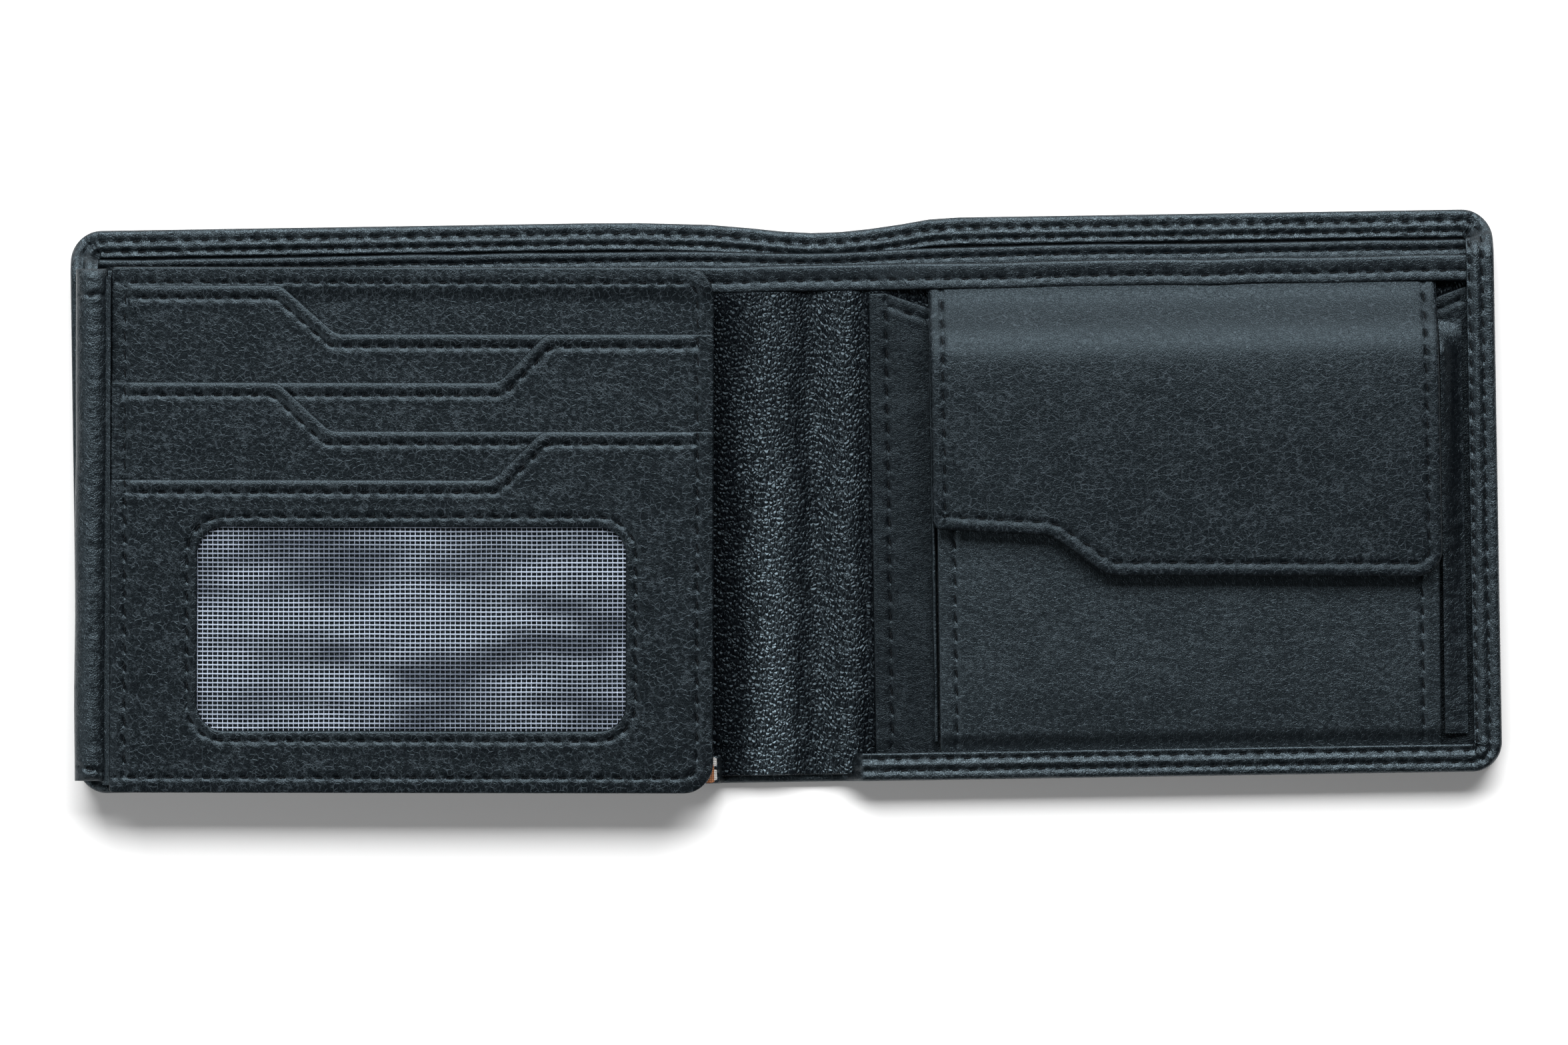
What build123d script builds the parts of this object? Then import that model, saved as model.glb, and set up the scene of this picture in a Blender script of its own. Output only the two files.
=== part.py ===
from build123d import *
import os
from math import cos, radians, sin

os.makedirs("parts", exist_ok=True)

# A trifold wallet lying open on its outside face. +X runs along the open wallet, from
# the flip wing to the coin pocket, +Y towards the mouth of the bill compartment, +Z up.

# Outline
LENGTH = 240.0
HEIGHT = 95.0
CORNER_R = 5.0

# The two spine folds, hinged just above the leather that crosses them
FOLD_RIGHT_X = 9.3
FOLD_LEFT_X = -6.9
FOLD_GAP = 0.15

# Flip wing, hinged along the left end and skewed a little clockwise as it lies
WING_WIDTH = 101.4
WING_HEIGHT = 88.5
WING_X = -62.9
WING_DROP = 4.0
WING_SKEW = 1.0
WING_Z = 6.6
ROLL_R = 2.2
ROLL_Z = 8.0
ROLL_U = -54.0
ROLL_V = (-38.3, 44.0)

# Wing card pockets: the mouths step down by POCKET_STEP from the first one
POCKET_STEP = 8.2
FIRST_MOUTH = 41.2
POCKET_T = 0.5
POCKET_PITCH = 0.6
WINDOW_W = 72.0
WINDOW_H = 34.2
WINDOW_MID = -16.7
WINDOW_R = 4.5

# Layers, from the floor up: each is (underside, top)
SHELL_Z = (0.0, 1.0)
HEM_Z = (1.0, 1.9)
LINING_Z = (1.05, 1.25)
DIVIDER_Z = (1.7, 2.1)
DIVIDER_BINDING_Z = (1.35, 2.45)
PANEL_Z = (2.8, 3.2)
SPINE_BINDING_Z = (2.5, 3.5)
SLIP_Z = (3.35, 3.9)
COIN_BACK_Z = (4.0, 4.3)
BORDER_Z = (5.3, 6.0)

# Depths below the shell's top edge
HEM_DEPTH = 4.7
DIVIDER_DEPTH = 4.95
DIVIDER_BINDING_H = 4.0
FRONT_DEPTH = 7.8
FRONT_BINDING_H = 4.5
SLIP_END_DEPTH = 12.7
SLIP_SHOULDER_DEPTH = 15.1
SLIP_MOUTH_DEPTH = 17.5

# Turned edge of the shell along the right end and the bottom
WALL_T = 1.0
BORDER_RIGHT_W = 5.2
BORDER_BOTTOM_W = 5.4
BORDER_START_RIGHT = 11.5
BORDER_START_LEFT = -9.0
TUCK = 0.2

# Coin pocket
COIN_X = (25.4, 109.9)
COIN_MOUTH_DEPTH = 23.5
COIN_FOOT = 5.9
COIN_FRONT_T = 0.8
COIN_FRONT_Z = 4.9
COIN_TILT = 2.75
FLAP_X = (24.6, 110.2)
FLAP_HINGE_DEPTH = 14.5
FLAP_HINGE_Z = 5.6
FLAP_ROOT_Z = (3.5, 4.6)
FLAP_FLAT_Z = 9.75
FLAP_T = 1.1
FLAP_CREST = 8.5
FLAP_SHORT_DEPTH = 53.5
FLAP_LONG_DEPTH = 61.6
FLAP_STEP_X = (44.5, 54.0)
GUSSET_T = 0.6

# Press stud between the coin flap and the coin pocket, hidden under the flap
SNAP_X = 79.5
SNAP_ABOVE_FLAP_EDGE = 6.6
SNAP_R = 4.5
NOSE_R = 1.9

# The whole outline, wing included, is centred on the origin
skew_sin = sin(radians(WING_SKEW))
skew_cos = cos(radians(WING_SKEW))
wing_reach = (
    WING_DROP
    + CORNER_R
    + (WING_WIDTH / 2 - CORNER_R) * skew_sin
    + (WING_HEIGHT / 2 - CORNER_R) * skew_cos
)
SHELL_MID = (wing_reach - HEIGHT / 2) / 2
TOP = SHELL_MID + HEIGHT / 2
BOTTOM = SHELL_MID - HEIGHT / 2
END = LENGTH / 2

RIGHT_X = (FOLD_RIGHT_X + FOLD_GAP, END)
SPINE_X = (FOLD_LEFT_X + FOLD_GAP, FOLD_RIGHT_X - FOLD_GAP)
LEFT_X = (-END, FOLD_LEFT_X - FOLD_GAP)
INSIDE_RIGHT_X = (RIGHT_X[0], END - WALL_T - TUCK)
INSIDE_LEFT_X = (-END + WALL_T + TUCK, LEFT_X[1])
INSIDE_BOTTOM = BOTTOM + WALL_T + TUCK

WING_PLANE = Plane(
    origin=(WING_X, SHELL_MID - WING_DROP, 0),
    x_dir=(skew_cos, -skew_sin, 0),
    z_dir=(0, 0, 1),
)
COIN_PLANE = Plane(
    origin=(0, BOTTOM + COIN_FOOT, COIN_FRONT_Z),
    x_dir=(1, 0, 0),
    z_dir=(0, -sin(radians(COIN_TILT)), cos(radians(COIN_TILT))),
)
COIN_LENGTH = (TOP - COIN_MOUTH_DEPTH - BOTTOM - COIN_FOOT) / cos(radians(COIN_TILT))
SNAP_Y = TOP - FLAP_LONG_DEPTH + SNAP_ABOVE_FLAP_EDGE


def keep(piece, name):
    """Label a finished piece and write it to its own file."""
    piece.part.label = name
    export_step(piece.part, f"parts/{name}.step")


def rectangle(x, y, mode=Mode.ADD):
    """A rectangle between two values on each axis of the sketch."""
    with Locations(((x[0] + x[1]) / 2, (y[0] + y[1]) / 2)):
        return Rectangle(x[1] - x[0], y[1] - y[0], mode=mode)


def slab(x, y, z, mode=Mode.ADD):
    """A flat block between two values on each axis, added to the current piece."""
    with BuildSketch(Plane.XY.offset(z[0])) as outline:
        rectangle(x, y)
    extrude(outline.sketch, amount=z[1] - z[0], mode=mode)


def round_foot(outline):
    """Round a layer's corners that lie in the shell's rounded bottom corners."""
    end = END - WALL_T - TUCK
    corners = [
        v
        for v in outline.vertices()
        if abs(abs(v.X) - end) < 0.01 and abs(v.Y - INSIDE_BOTTOM) < 0.01
    ]
    if corners:
        fillet(corners, CORNER_R - WALL_T - TUCK)


def sheet(name, x, y, z):
    """A plain rectangular layer of leather or lining."""
    with BuildPart() as piece:
        with BuildSketch(Plane.XY.offset(z[0])) as outline:
            rectangle(x, y)
            round_foot(outline)
        extrude(amount=z[1] - z[0])
    keep(piece, name)


def binding(name, x, top, height, outer_z, slot_z):
    """A strip folded over a panel's upper edge, sewn through both legs."""
    wall = 0.4
    with BuildPart() as piece:
        with BuildSketch(Plane.YZ.offset(x[0])) as profile:
            rectangle((top - height, top), outer_z)
            fillet(profile.vertices().group_by(Axis.Y)[-1], 0.35)
            rectangle((top - height, top - wall), slot_z, mode=Mode.SUBTRACT)
        extrude(amount=x[1] - x[0])
    keep(piece, name)


# ---- shell, lining, divider and inside panel -------------------------------------------


def shell_outline(x):
    """One part of the shell in plan; the corners at the ends of the wallet are rounded."""
    with BuildSketch() as outline:
        rectangle(x, (BOTTOM, TOP))
        ends = [v for v in outline.vertices() if abs(abs(v.X) - END) < 0.01]
        if ends:
            fillet(ends, CORNER_R)
    return outline.sketch


def rim_cavity():
    """The space inside the turned border's upright wall, where the panels lie."""
    with BuildSketch() as cavity:
        rectangle((-END + WALL_T, END - WALL_T), (BOTTOM + WALL_T, TOP))
        fillet(cavity.vertices().group_by(Axis.Y)[0], CORNER_R - WALL_T)
    return cavity.sketch


def shell_part(name, x, border_x, end_border):
    """Outer leather with a turned hem at the top and a turned border round the panels."""
    rim_y = (BOTTOM, TOP - HEM_DEPTH)
    inner_x = (-END + end_border, END - end_border)
    with BuildPart() as piece:
        with BuildSketch(Plane.XY):
            add(shell_outline(x))
        extrude(amount=SHELL_Z[1])
        with BuildSketch(Plane.XY.offset(HEM_Z[0])):
            add(shell_outline(x))
            rectangle((-END, END), rim_y, mode=Mode.SUBTRACT)
        extrude(amount=HEM_Z[1] - HEM_Z[0])
        if border_x:
            with BuildSketch(Plane.XY.offset(SHELL_Z[1])):
                add(shell_outline(border_x))
                rectangle((-END, END), (rim_y[1], TOP), mode=Mode.SUBTRACT)
                add(rim_cavity(), mode=Mode.SUBTRACT)
            extrude(amount=BORDER_Z[0] - SHELL_Z[1])
            with BuildSketch(Plane.XY.offset(BORDER_Z[0])):
                add(shell_outline(border_x))
                rectangle((-END, END), (rim_y[1], TOP), mode=Mode.SUBTRACT)
                rectangle(inner_x, (BOTTOM + BORDER_BOTTOM_W, TOP), mode=Mode.SUBTRACT)
            extrude(amount=BORDER_Z[1] - BORDER_Z[0])
    keep(piece, name)


shell_part("shell_right", RIGHT_X, (BORDER_START_RIGHT, END), BORDER_RIGHT_W)
shell_part("shell_spine", SPINE_X, None, 0)
shell_part("shell_left", LEFT_X, (-END, BORDER_START_LEFT), 0)

for side, x in (("right", INSIDE_RIGHT_X), ("spine", SPINE_X), ("left", INSIDE_LEFT_X)):
    lining_top = TOP - HEM_DEPTH - TUCK
    sheet(f"shell_lining_{side}", x, (INSIDE_BOTTOM, lining_top), LINING_Z)
    divider_top = TOP - DIVIDER_DEPTH
    sheet(f"divider_{side}", x, (INSIDE_BOTTOM, divider_top - 0.45), DIVIDER_Z)
    binding(
        f"divider_binding_{side}",
        x,
        divider_top,
        DIVIDER_BINDING_H,
        DIVIDER_BINDING_Z,
        (DIVIDER_Z[0] - 0.05, DIVIDER_Z[1] + 0.05),
    )

panel_y = (INSIDE_BOTTOM, TOP - FRONT_DEPTH - 0.45)
sheet("front_panel_right", INSIDE_RIGHT_X, panel_y, PANEL_Z)
sheet("spine_leather", SPINE_X, panel_y, PANEL_Z)
sheet("front_panel_left", INSIDE_LEFT_X, panel_y, PANEL_Z)

# At the coin pocket the binding also closes over the root of the flap
panel_slot = (PANEL_Z[0] - 0.05, PANEL_Z[1] + 0.05)
flap_slot = (PANEL_Z[0] - 0.05, FLAP_ROOT_Z[1] + 0.1)
front_top = TOP - FRONT_DEPTH
front_right_z = (SPINE_BINDING_Z[0], BORDER_Z[0])
binding(
    "front_binding_right", INSIDE_RIGHT_X, front_top, FRONT_BINDING_H, front_right_z, flap_slot
)
for side, x in (("spine", SPINE_X), ("left", INSIDE_LEFT_X)):
    binding(
        f"front_binding_{side}", x, front_top, FRONT_BINDING_H, SPINE_BINDING_Z, panel_slot
    )

# ---- right half: slip pocket and coin pocket --------------------------------------------


def slip_mouth(depth, low_depth):
    """The slip pocket's mouth: level in the middle, rising to a shoulder at each end."""
    left, right = 14.5, INSIDE_RIGHT_X[1]
    return [
        (left, TOP - depth),
        (left + 3.0, TOP - depth),
        (FLAP_X[0] - 0.4, TOP - SLIP_SHOULDER_DEPTH),
        (FLAP_X[0] + 6.0, TOP - low_depth),
        (FLAP_X[1] - 6.0, TOP - low_depth),
        (FLAP_X[1] + 0.7, TOP - SLIP_SHOULDER_DEPTH + 0.5),
        (right - 3.8, TOP - depth - 0.4),
        (right, TOP - depth - 0.4),
    ]


with BuildPart() as slip_pocket:
    mouth = slip_mouth(SLIP_END_DEPTH, SLIP_MOUTH_DEPTH)
    foot = [(mouth[-1][0], INSIDE_BOTTOM), (mouth[0][0], INSIDE_BOTTOM)]
    with BuildSketch(Plane.XY.offset(SLIP_Z[0])) as slip_outline:
        with BuildLine():
            Polyline(mouth + foot, close=True)
        make_face()
        round_foot(slip_outline)
    extrude(amount=SLIP_Z[1] - SLIP_Z[0])
keep(slip_pocket, "slip_pocket")

coin_y = (INSIDE_BOTTOM, TOP - COIN_MOUTH_DEPTH)
sheet("coin_pocket_back", COIN_X, coin_y, COIN_BACK_Z)

with BuildPart() as coin_pocket_front:
    with BuildSketch(COIN_PLANE):
        rectangle(COIN_X, (0, COIN_LENGTH))
        with Locations((SNAP_X, SNAP_Y - BOTTOM - COIN_FOOT)):
            Circle(1.2, mode=Mode.SUBTRACT)
    extrude(amount=COIN_FRONT_T)
keep(coin_pocket_front, "coin_pocket_front")

with BuildPart() as coin_front_lining:
    with BuildSketch(COIN_PLANE.offset(-0.3)):
        rectangle(COIN_X, (0, COIN_LENGTH))
        with Locations((SNAP_X, SNAP_Y - BOTTOM - COIN_FOOT)):
            Circle(1.2, mode=Mode.SUBTRACT)
    extrude(amount=0.25)
keep(coin_front_lining, "coin_front_lining")

# The left gusset stands in the narrow groove beside the pocket
gusset_foot = BOTTOM + COIN_FOOT + 0.6
gusset_mouth = TOP - COIN_MOUTH_DEPTH
gusset_left_x = COIN_X[0] - 0.3 - GUSSET_T
with BuildPart() as coin_gusset_left:
    with BuildSketch(Plane.YZ.offset(gusset_left_x)):
        with BuildLine():
            Polyline(
                (gusset_foot, SLIP_Z[1] + 0.1),
                (gusset_mouth, SLIP_Z[1] + 0.1),
                (gusset_mouth, COIN_FRONT_Z + 2.7),
                (gusset_foot, COIN_FRONT_Z),
                close=True,
            )
        make_face()
    extrude(amount=GUSSET_T)
keep(coin_gusset_left, "coin_gusset_left")


def pleat(y, height):
    """The right gusset's folded section: two leaves that meet at an outer fold."""
    inner, outer = COIN_X[1] + 0.6, END - BORDER_RIGHT_W - 0.4
    low = SLIP_Z[1] + 0.15
    with BuildSketch(Plane.XZ.offset(-y)) as section:
        with BuildLine():
            Polyline(
                (inner, low),
                (outer, low),
                (outer, low + GUSSET_T + 0.1),
                (inner, low + height),
                (inner, low + height - GUSSET_T),
                (outer - 1.0, low + GUSSET_T),
                (inner, low + GUSSET_T - 0.1),
                close=True,
            )
        make_face()
    return section.sketch


with BuildPart() as coin_gusset_right:
    loft([pleat(gusset_foot, 1.25).face(), pleat(gusset_mouth, 3.7).face()], ruled=True)
keep(coin_gusset_right, "coin_gusset_right")

hinge_y = TOP - FLAP_HINGE_DEPTH
root_top = TOP - FRONT_DEPTH - 0.5
sheet("coin_flap_root", FLAP_X, (hinge_y, root_top), FLAP_ROOT_Z)


def flap_profile(inset, depth, thickness):
    """The flap's side view: from the binding up to a crest, then level to its edge."""
    root_y, root_z = hinge_y - 0.3 - inset, FLAP_HINGE_Z - 0.2
    crest_y, crest_z = hinge_y - FLAP_CREST, FLAP_FLAT_Z + FLAP_T
    slope = (crest_z - root_z) / (hinge_y - 0.3 - crest_y)
    turn = (1 + slope**2) ** 0.5

    def on_slope(y, below):
        """Height of the sloped face at y, taken a perpendicular distance below the top."""
        return root_z + (hinge_y - 0.3 - y) * slope - below * turn

    def crest(below):
        """Where the sloped and the level face meet, at a distance below the top."""
        return hinge_y - 0.3 - (crest_z - below + below * turn - root_z) / slope

    edge_y = TOP - FLAP_LONG_DEPTH - 5
    base = depth + thickness
    return [
        (root_y, on_slope(root_y, depth)),
        (crest(depth), crest_z - depth),
        (edge_y, crest_z - depth),
        (edge_y, crest_z - base),
        (crest(base), crest_z - base),
        (root_y, on_slope(root_y, base)),
    ]


def flap_outline():
    """The flap in plan: a short tab at the left, then a slant down to the long edge."""
    short_y, long_y = TOP - FLAP_SHORT_DEPTH, TOP - FLAP_LONG_DEPTH
    with BuildSketch() as outline:
        with BuildLine():
            Polyline(
                (FLAP_X[0], TOP),
                (FLAP_X[0], short_y + 0.7),
                (FLAP_STEP_X[0], short_y - 0.7),
                (FLAP_STEP_X[1], long_y + 0.5),
                (FLAP_X[1], long_y - 0.5),
                (FLAP_X[1], TOP),
                close=True,
            )
        make_face()
        fillet(outline.vertices().sort_by(Axis.Y)[:1], 4.5)
        fillet(outline.vertices().sort_by_distance((*FLAP_STEP_X[:1], short_y - 0.7))[:1], 5)
        fillet(outline.vertices().sort_by_distance((FLAP_STEP_X[1], long_y + 0.5))[:1], 5)
        fillet(outline.vertices().sort_by_distance((FLAP_X[0], short_y + 0.7))[:1], 1.5)
    return outline.sketch


def flap_layer(x, inset, depth, thickness):
    """One layer of the flap, bent in side view and cut to the flap's plan."""
    with BuildSketch(Plane.YZ.offset(x[0])) as profile:
        with BuildLine():
            Polyline(flap_profile(inset, depth, thickness), close=True)
        make_face()
    extrude(profile.sketch, amount=x[1] - x[0])
    extrude(flap_outline(), amount=20, mode=Mode.INTERSECT)


with BuildPart() as coin_flap:
    flap_layer(FLAP_X, 0.0, 0.0, FLAP_T)
    with BuildSketch(Plane.XY.offset(FLAP_FLAT_Z)):
        with Locations((SNAP_X, SNAP_Y)):
            Circle(SNAP_R - 0.3)
    extrude(amount=0.45, mode=Mode.SUBTRACT)
keep(coin_flap, "coin_flap")

with BuildPart() as coin_flap_lining:
    flap_layer((FLAP_X[0] + 0.8, FLAP_X[1] - 0.8), 1.7, FLAP_T + 0.05, 0.3)
    with Locations((SNAP_X, SNAP_Y, FLAP_FLAT_Z)):
        Hole(1.3, depth=1)
keep(coin_flap_lining, "coin_flap_lining")

# ---- press stud: cap and socket on the flap, stud and post on the pocket ----------------

with BuildPart() as snap_cap:
    with BuildSketch(Plane.XY.offset(FLAP_FLAT_Z + 0.05)):
        with Locations((SNAP_X, SNAP_Y)):
            Circle(SNAP_R - 0.5)
    extrude(amount=0.35)
    fillet(snap_cap.edges().group_by(Axis.Z)[-1], 0.2)
    with BuildSketch(Plane.XY.offset(FLAP_FLAT_Z - 0.3)):
        with Locations((SNAP_X, SNAP_Y)):
            Circle(1.0)
    extrude(amount=0.4)
keep(snap_cap, "snap_cap")

with BuildPart() as snap_socket:
    socket_top = FLAP_FLAT_Z - 0.4
    with BuildSketch(Plane.XY.offset(socket_top - 1.15)):
        with Locations((SNAP_X, SNAP_Y)):
            Circle(SNAP_R + 0.2)
    extrude(amount=1.15)
    fillet(snap_socket.edges().group_by(Axis.Z)[0], 0.4)
    with BuildSketch(Plane.XY.offset(socket_top - 1.15)):
        with Locations((SNAP_X, SNAP_Y)):
            Circle(NOSE_R + 0.4)
    extrude(amount=0.9, mode=Mode.SUBTRACT)
keep(snap_socket, "snap_socket")

snap_place = (SNAP_X, SNAP_Y - BOTTOM - COIN_FOOT)
with BuildPart() as snap_stud:
    with BuildSketch(COIN_PLANE.offset(COIN_FRONT_T + 0.02)):
        with Locations(snap_place):
            Circle(SNAP_R)
    extrude(amount=0.3)
    with BuildSketch(COIN_PLANE.offset(COIN_FRONT_T + 0.32)):
        with Locations(snap_place):
            Circle(NOSE_R)
    extrude(amount=1.0)
    fillet(snap_stud.edges().group_by(Axis.Z)[-1], 0.3)
keep(snap_stud, "snap_stud")

with BuildPart() as snap_post:
    with BuildSketch(COIN_PLANE.offset(-0.7)):
        with Locations(snap_place):
            Circle(SNAP_R - 0.5)
    extrude(amount=0.3)
    with BuildSketch(COIN_PLANE.offset(-0.4)):
        with Locations(snap_place):
            Circle(1.0)
    extrude(amount=COIN_FRONT_T + 0.38)
keep(snap_post, "snap_post")

# ---- left half: card pockets under the wing, wing hinge and label -----------------------

for number in range(3):
    underside = PANEL_Z[1] + 0.3 + number * POCKET_PITCH
    pocket_top = TOP - 23.5 - number * 10.0
    sheet(
        f"inner_card_pocket_{number + 1}",
        (-111.0, -14.0),
        (INSIDE_BOTTOM, pocket_top),
        (underside, underside + 0.4),
    )

# The hinge leather rolls up beside the wing and is sewn down under its left edge
with BuildPart() as wing_hinge_roll:
    with BuildSketch(WING_PLANE.offset(BORDER_Z[0] + 0.1)):
        rectangle((ROLL_U - 2.0, ROLL_U + 6.5), ROLL_V)
    extrude(amount=0.6)
    roll_end = WING_PLANE.location * Location((ROLL_U, ROLL_V[1], ROLL_Z), (90, 0, 0))
    with BuildSketch(Plane(roll_end)):
        Circle(ROLL_R)
    extrude(amount=ROLL_V[1] - ROLL_V[0])
keep(wing_hinge_roll, "wing_hinge_roll")

# A folded label caught in the bottom seam: a tan leaf and a white one
with BuildPart() as label_tab:
    slab((-16.5, -12.4), (BOTTOM + 0.3, BOTTOM + 3.6), (6.03, 6.12))
    slab((-15.5, -12.2), (BOTTOM + 0.6, BOTTOM + 4.0), (6.15, 6.24))
keep(label_tab, "label_tab")

# ---- flip wing: back panel, three card pockets, window panel and mesh -------------------


def wing_outline():
    """The wing in plan: square at the hinge, rounded at its free end."""
    with BuildSketch() as outline:
        Rectangle(WING_WIDTH, WING_HEIGHT)
        fillet(outline.vertices().group_by(Axis.X)[-1], CORNER_R)
    return outline.sketch


def pocket_outline(left_mouth, right_mouth, slant_u):
    """A card pocket in plan: its mouth steps between two levels along a short slant."""
    below = -WING_HEIGHT
    with BuildSketch() as outline:
        with BuildLine():
            Polyline(
                (-WING_WIDTH, below),
                (-WING_WIDTH, left_mouth),
                (slant_u[0], left_mouth),
                (slant_u[1], right_mouth),
                (WING_WIDTH, right_mouth),
                (WING_WIDTH, below),
                close=True,
            )
        make_face()
        fillet(outline.vertices().filter_by_position(Axis.X, *slant_u), 3.0)
        add(wing_outline(), mode=Mode.INTERSECT)
    return outline.sketch


mouths = [FIRST_MOUTH - POCKET_STEP * level for level in range(5)]
POCKETS = [
    (mouths[0], mouths[1], (-22.2, -12.9)),
    (mouths[2], mouths[1], (14.4, 22.4)),
    (mouths[2], mouths[3], (-22.6, -13.8)),
]

with BuildPart() as wing_back_panel:
    with BuildSketch(WING_PLANE.offset(WING_Z)):
        add(wing_outline())
    extrude(amount=0.6)
keep(wing_back_panel, "wing_back_panel")

pocket_z = WING_Z + 0.7
for number, (left_mouth, right_mouth, slant_u) in enumerate(POCKETS):
    with BuildPart() as card_pocket:
        with BuildSketch(WING_PLANE.offset(pocket_z + number * POCKET_PITCH)):
            add(pocket_outline(left_mouth, right_mouth, slant_u))
        extrude(amount=POCKET_T)
    keep(card_pocket, f"card_pocket_{number + 1}")

mesh_z = pocket_z + len(POCKETS) * POCKET_PITCH + 0.05
with BuildPart() as window_mesh:
    with BuildSketch(WING_PLANE.offset(mesh_z)):
        with Locations((0, WINDOW_MID)):
            RectangleRounded(WINDOW_W + 5.0, WINDOW_H + 5.0, WINDOW_R)
    extrude(amount=0.25)
keep(window_mesh, "window_mesh")

with BuildPart() as window_panel:
    with BuildSketch(WING_PLANE.offset(mesh_z + 0.35)):
        add(pocket_outline(mouths[4], mouths[3], (13.6, 21.8)))
        with Locations((0, WINDOW_MID)):
            RectangleRounded(WINDOW_W, WINDOW_H, WINDOW_R, mode=Mode.SUBTRACT)
    extrude(amount=0.7)
keep(window_panel, "window_panel")
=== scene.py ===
import math

import bmesh
import bpy
import numpy as np
from mathutils import Matrix, Vector, geometry, kdtree


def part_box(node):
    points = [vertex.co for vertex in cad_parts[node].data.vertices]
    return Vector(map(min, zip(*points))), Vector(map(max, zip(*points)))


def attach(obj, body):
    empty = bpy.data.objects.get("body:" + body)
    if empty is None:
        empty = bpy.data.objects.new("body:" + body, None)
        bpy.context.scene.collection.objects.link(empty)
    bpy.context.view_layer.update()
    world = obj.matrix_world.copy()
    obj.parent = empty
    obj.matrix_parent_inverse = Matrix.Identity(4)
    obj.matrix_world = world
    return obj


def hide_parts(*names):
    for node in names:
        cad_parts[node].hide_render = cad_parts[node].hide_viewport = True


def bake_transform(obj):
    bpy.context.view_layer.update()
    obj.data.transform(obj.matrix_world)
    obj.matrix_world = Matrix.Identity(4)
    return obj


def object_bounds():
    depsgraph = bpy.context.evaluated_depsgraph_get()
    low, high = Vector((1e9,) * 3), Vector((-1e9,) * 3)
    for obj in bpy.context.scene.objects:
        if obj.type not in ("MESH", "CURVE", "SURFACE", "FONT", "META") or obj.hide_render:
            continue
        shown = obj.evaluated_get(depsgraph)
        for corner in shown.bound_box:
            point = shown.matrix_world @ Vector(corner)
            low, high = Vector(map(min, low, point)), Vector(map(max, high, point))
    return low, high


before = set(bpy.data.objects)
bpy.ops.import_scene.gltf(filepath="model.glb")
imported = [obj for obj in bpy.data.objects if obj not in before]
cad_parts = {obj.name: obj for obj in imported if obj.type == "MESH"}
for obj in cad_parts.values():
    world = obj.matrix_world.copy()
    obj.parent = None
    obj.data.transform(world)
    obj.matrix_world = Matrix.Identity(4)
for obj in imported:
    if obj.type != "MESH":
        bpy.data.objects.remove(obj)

# Lengths in this file are millimetres until a mesh is made.
MM = 0.001
CAD_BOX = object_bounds()
# Where each layer that crosses both folds is split into two pieces
SPLIT_X = 1.2
# Length of one stitch, and how far a row of them is from the edge it follows
PITCH = 3.1
INSET = 2.2


def span(node):
    """A CAD node's lowest and highest value on each axis."""
    low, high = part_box(node)
    return [(low[axis] / MM, high[axis] / MM) for axis in range(3)]


BOTTOM, TOP = span("shell_spine")[1]
END = span("shell_right")[0][1]
# The wing lies a little askew; its own coordinates u, v run along its sides
WING_SKEW = math.radians(1.0)
WING_MIDDLE = [sum(pair) / 2 for pair in span("window_mesh")]
# The window: the v of its middle, then its half width, half height and corner radius
WINDOW_V = -16.7
WINDOW = (36.0, 17.1, 4.5)

# ---- noise ----


def smooth(t):
    """A soft step from 0 to 1 as t goes from 0 to 1."""
    t = np.clip(t, 0.0, 1.0)
    return t * t * (3 - 2 * t)


def ramp(value, start, end):
    """A soft step from 0 at start to 1 at end."""
    return smooth((np.asarray(value, float) - start) / (end - start))


def bell(value, width):
    """A bump of height 1 at value 0 that fades over width."""
    return np.exp(-((value / width) ** 2))


def dice(ix, iy, seed):
    """A repeatable number from 0 to 1 for each pair of whole numbers."""
    mixed = ix.astype(np.int64) * 374761393 + iy.astype(np.int64) * 668265263
    mixed = (mixed + seed * 974634777) & 0xFFFFFFFF
    mixed = ((mixed ^ (mixed >> 13)) * 1274126177) & 0xFFFFFFFF
    mixed ^= mixed >> 16
    return (mixed & 0xFFFFFF) / float(0xFFFFFF)


def noise(x, y, size, seed):
    """Smooth noise from -1 to 1 with bumps about size across."""
    gx, gy = np.asarray(x, float) / size, np.asarray(y, float) / size
    ix, iy = np.floor(gx), np.floor(gy)
    fx, fy = smooth(gx - ix), smooth(gy - iy)
    low = dice(ix, iy, seed) * (1 - fx) + dice(ix + 1, iy, seed) * fx
    high = dice(ix, iy + 1, seed) * (1 - fx) + dice(ix + 1, iy + 1, seed) * fx
    return (low * (1 - fy) + high * fy) * 2 - 1


def cell_edges(x, y, size, seed):
    """Distance to the nearest border between scattered cells, in cell sizes."""
    gx, gy = np.asarray(x, float) / size, np.asarray(y, float) / size
    ix, iy = np.floor(gx), np.floor(gy)
    first = np.full(gx.shape, 9.0)
    second = np.full(gx.shape, 9.0)
    for dx in (-1, 0, 1):
        for dy in (-1, 0, 1):
            cx, cy = ix + dx, iy + dy
            px = cx + 0.1 + 0.8 * dice(cx, cy, seed)
            py = cy + 0.1 + 0.8 * dice(cx, cy, seed + 50)
            gap = np.hypot(gx - px, gy - py)
            second = np.where(gap < first, first, np.minimum(second, gap))
            first = np.minimum(first, gap)
    return second - first


# ---- paths and outlines ----


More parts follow.
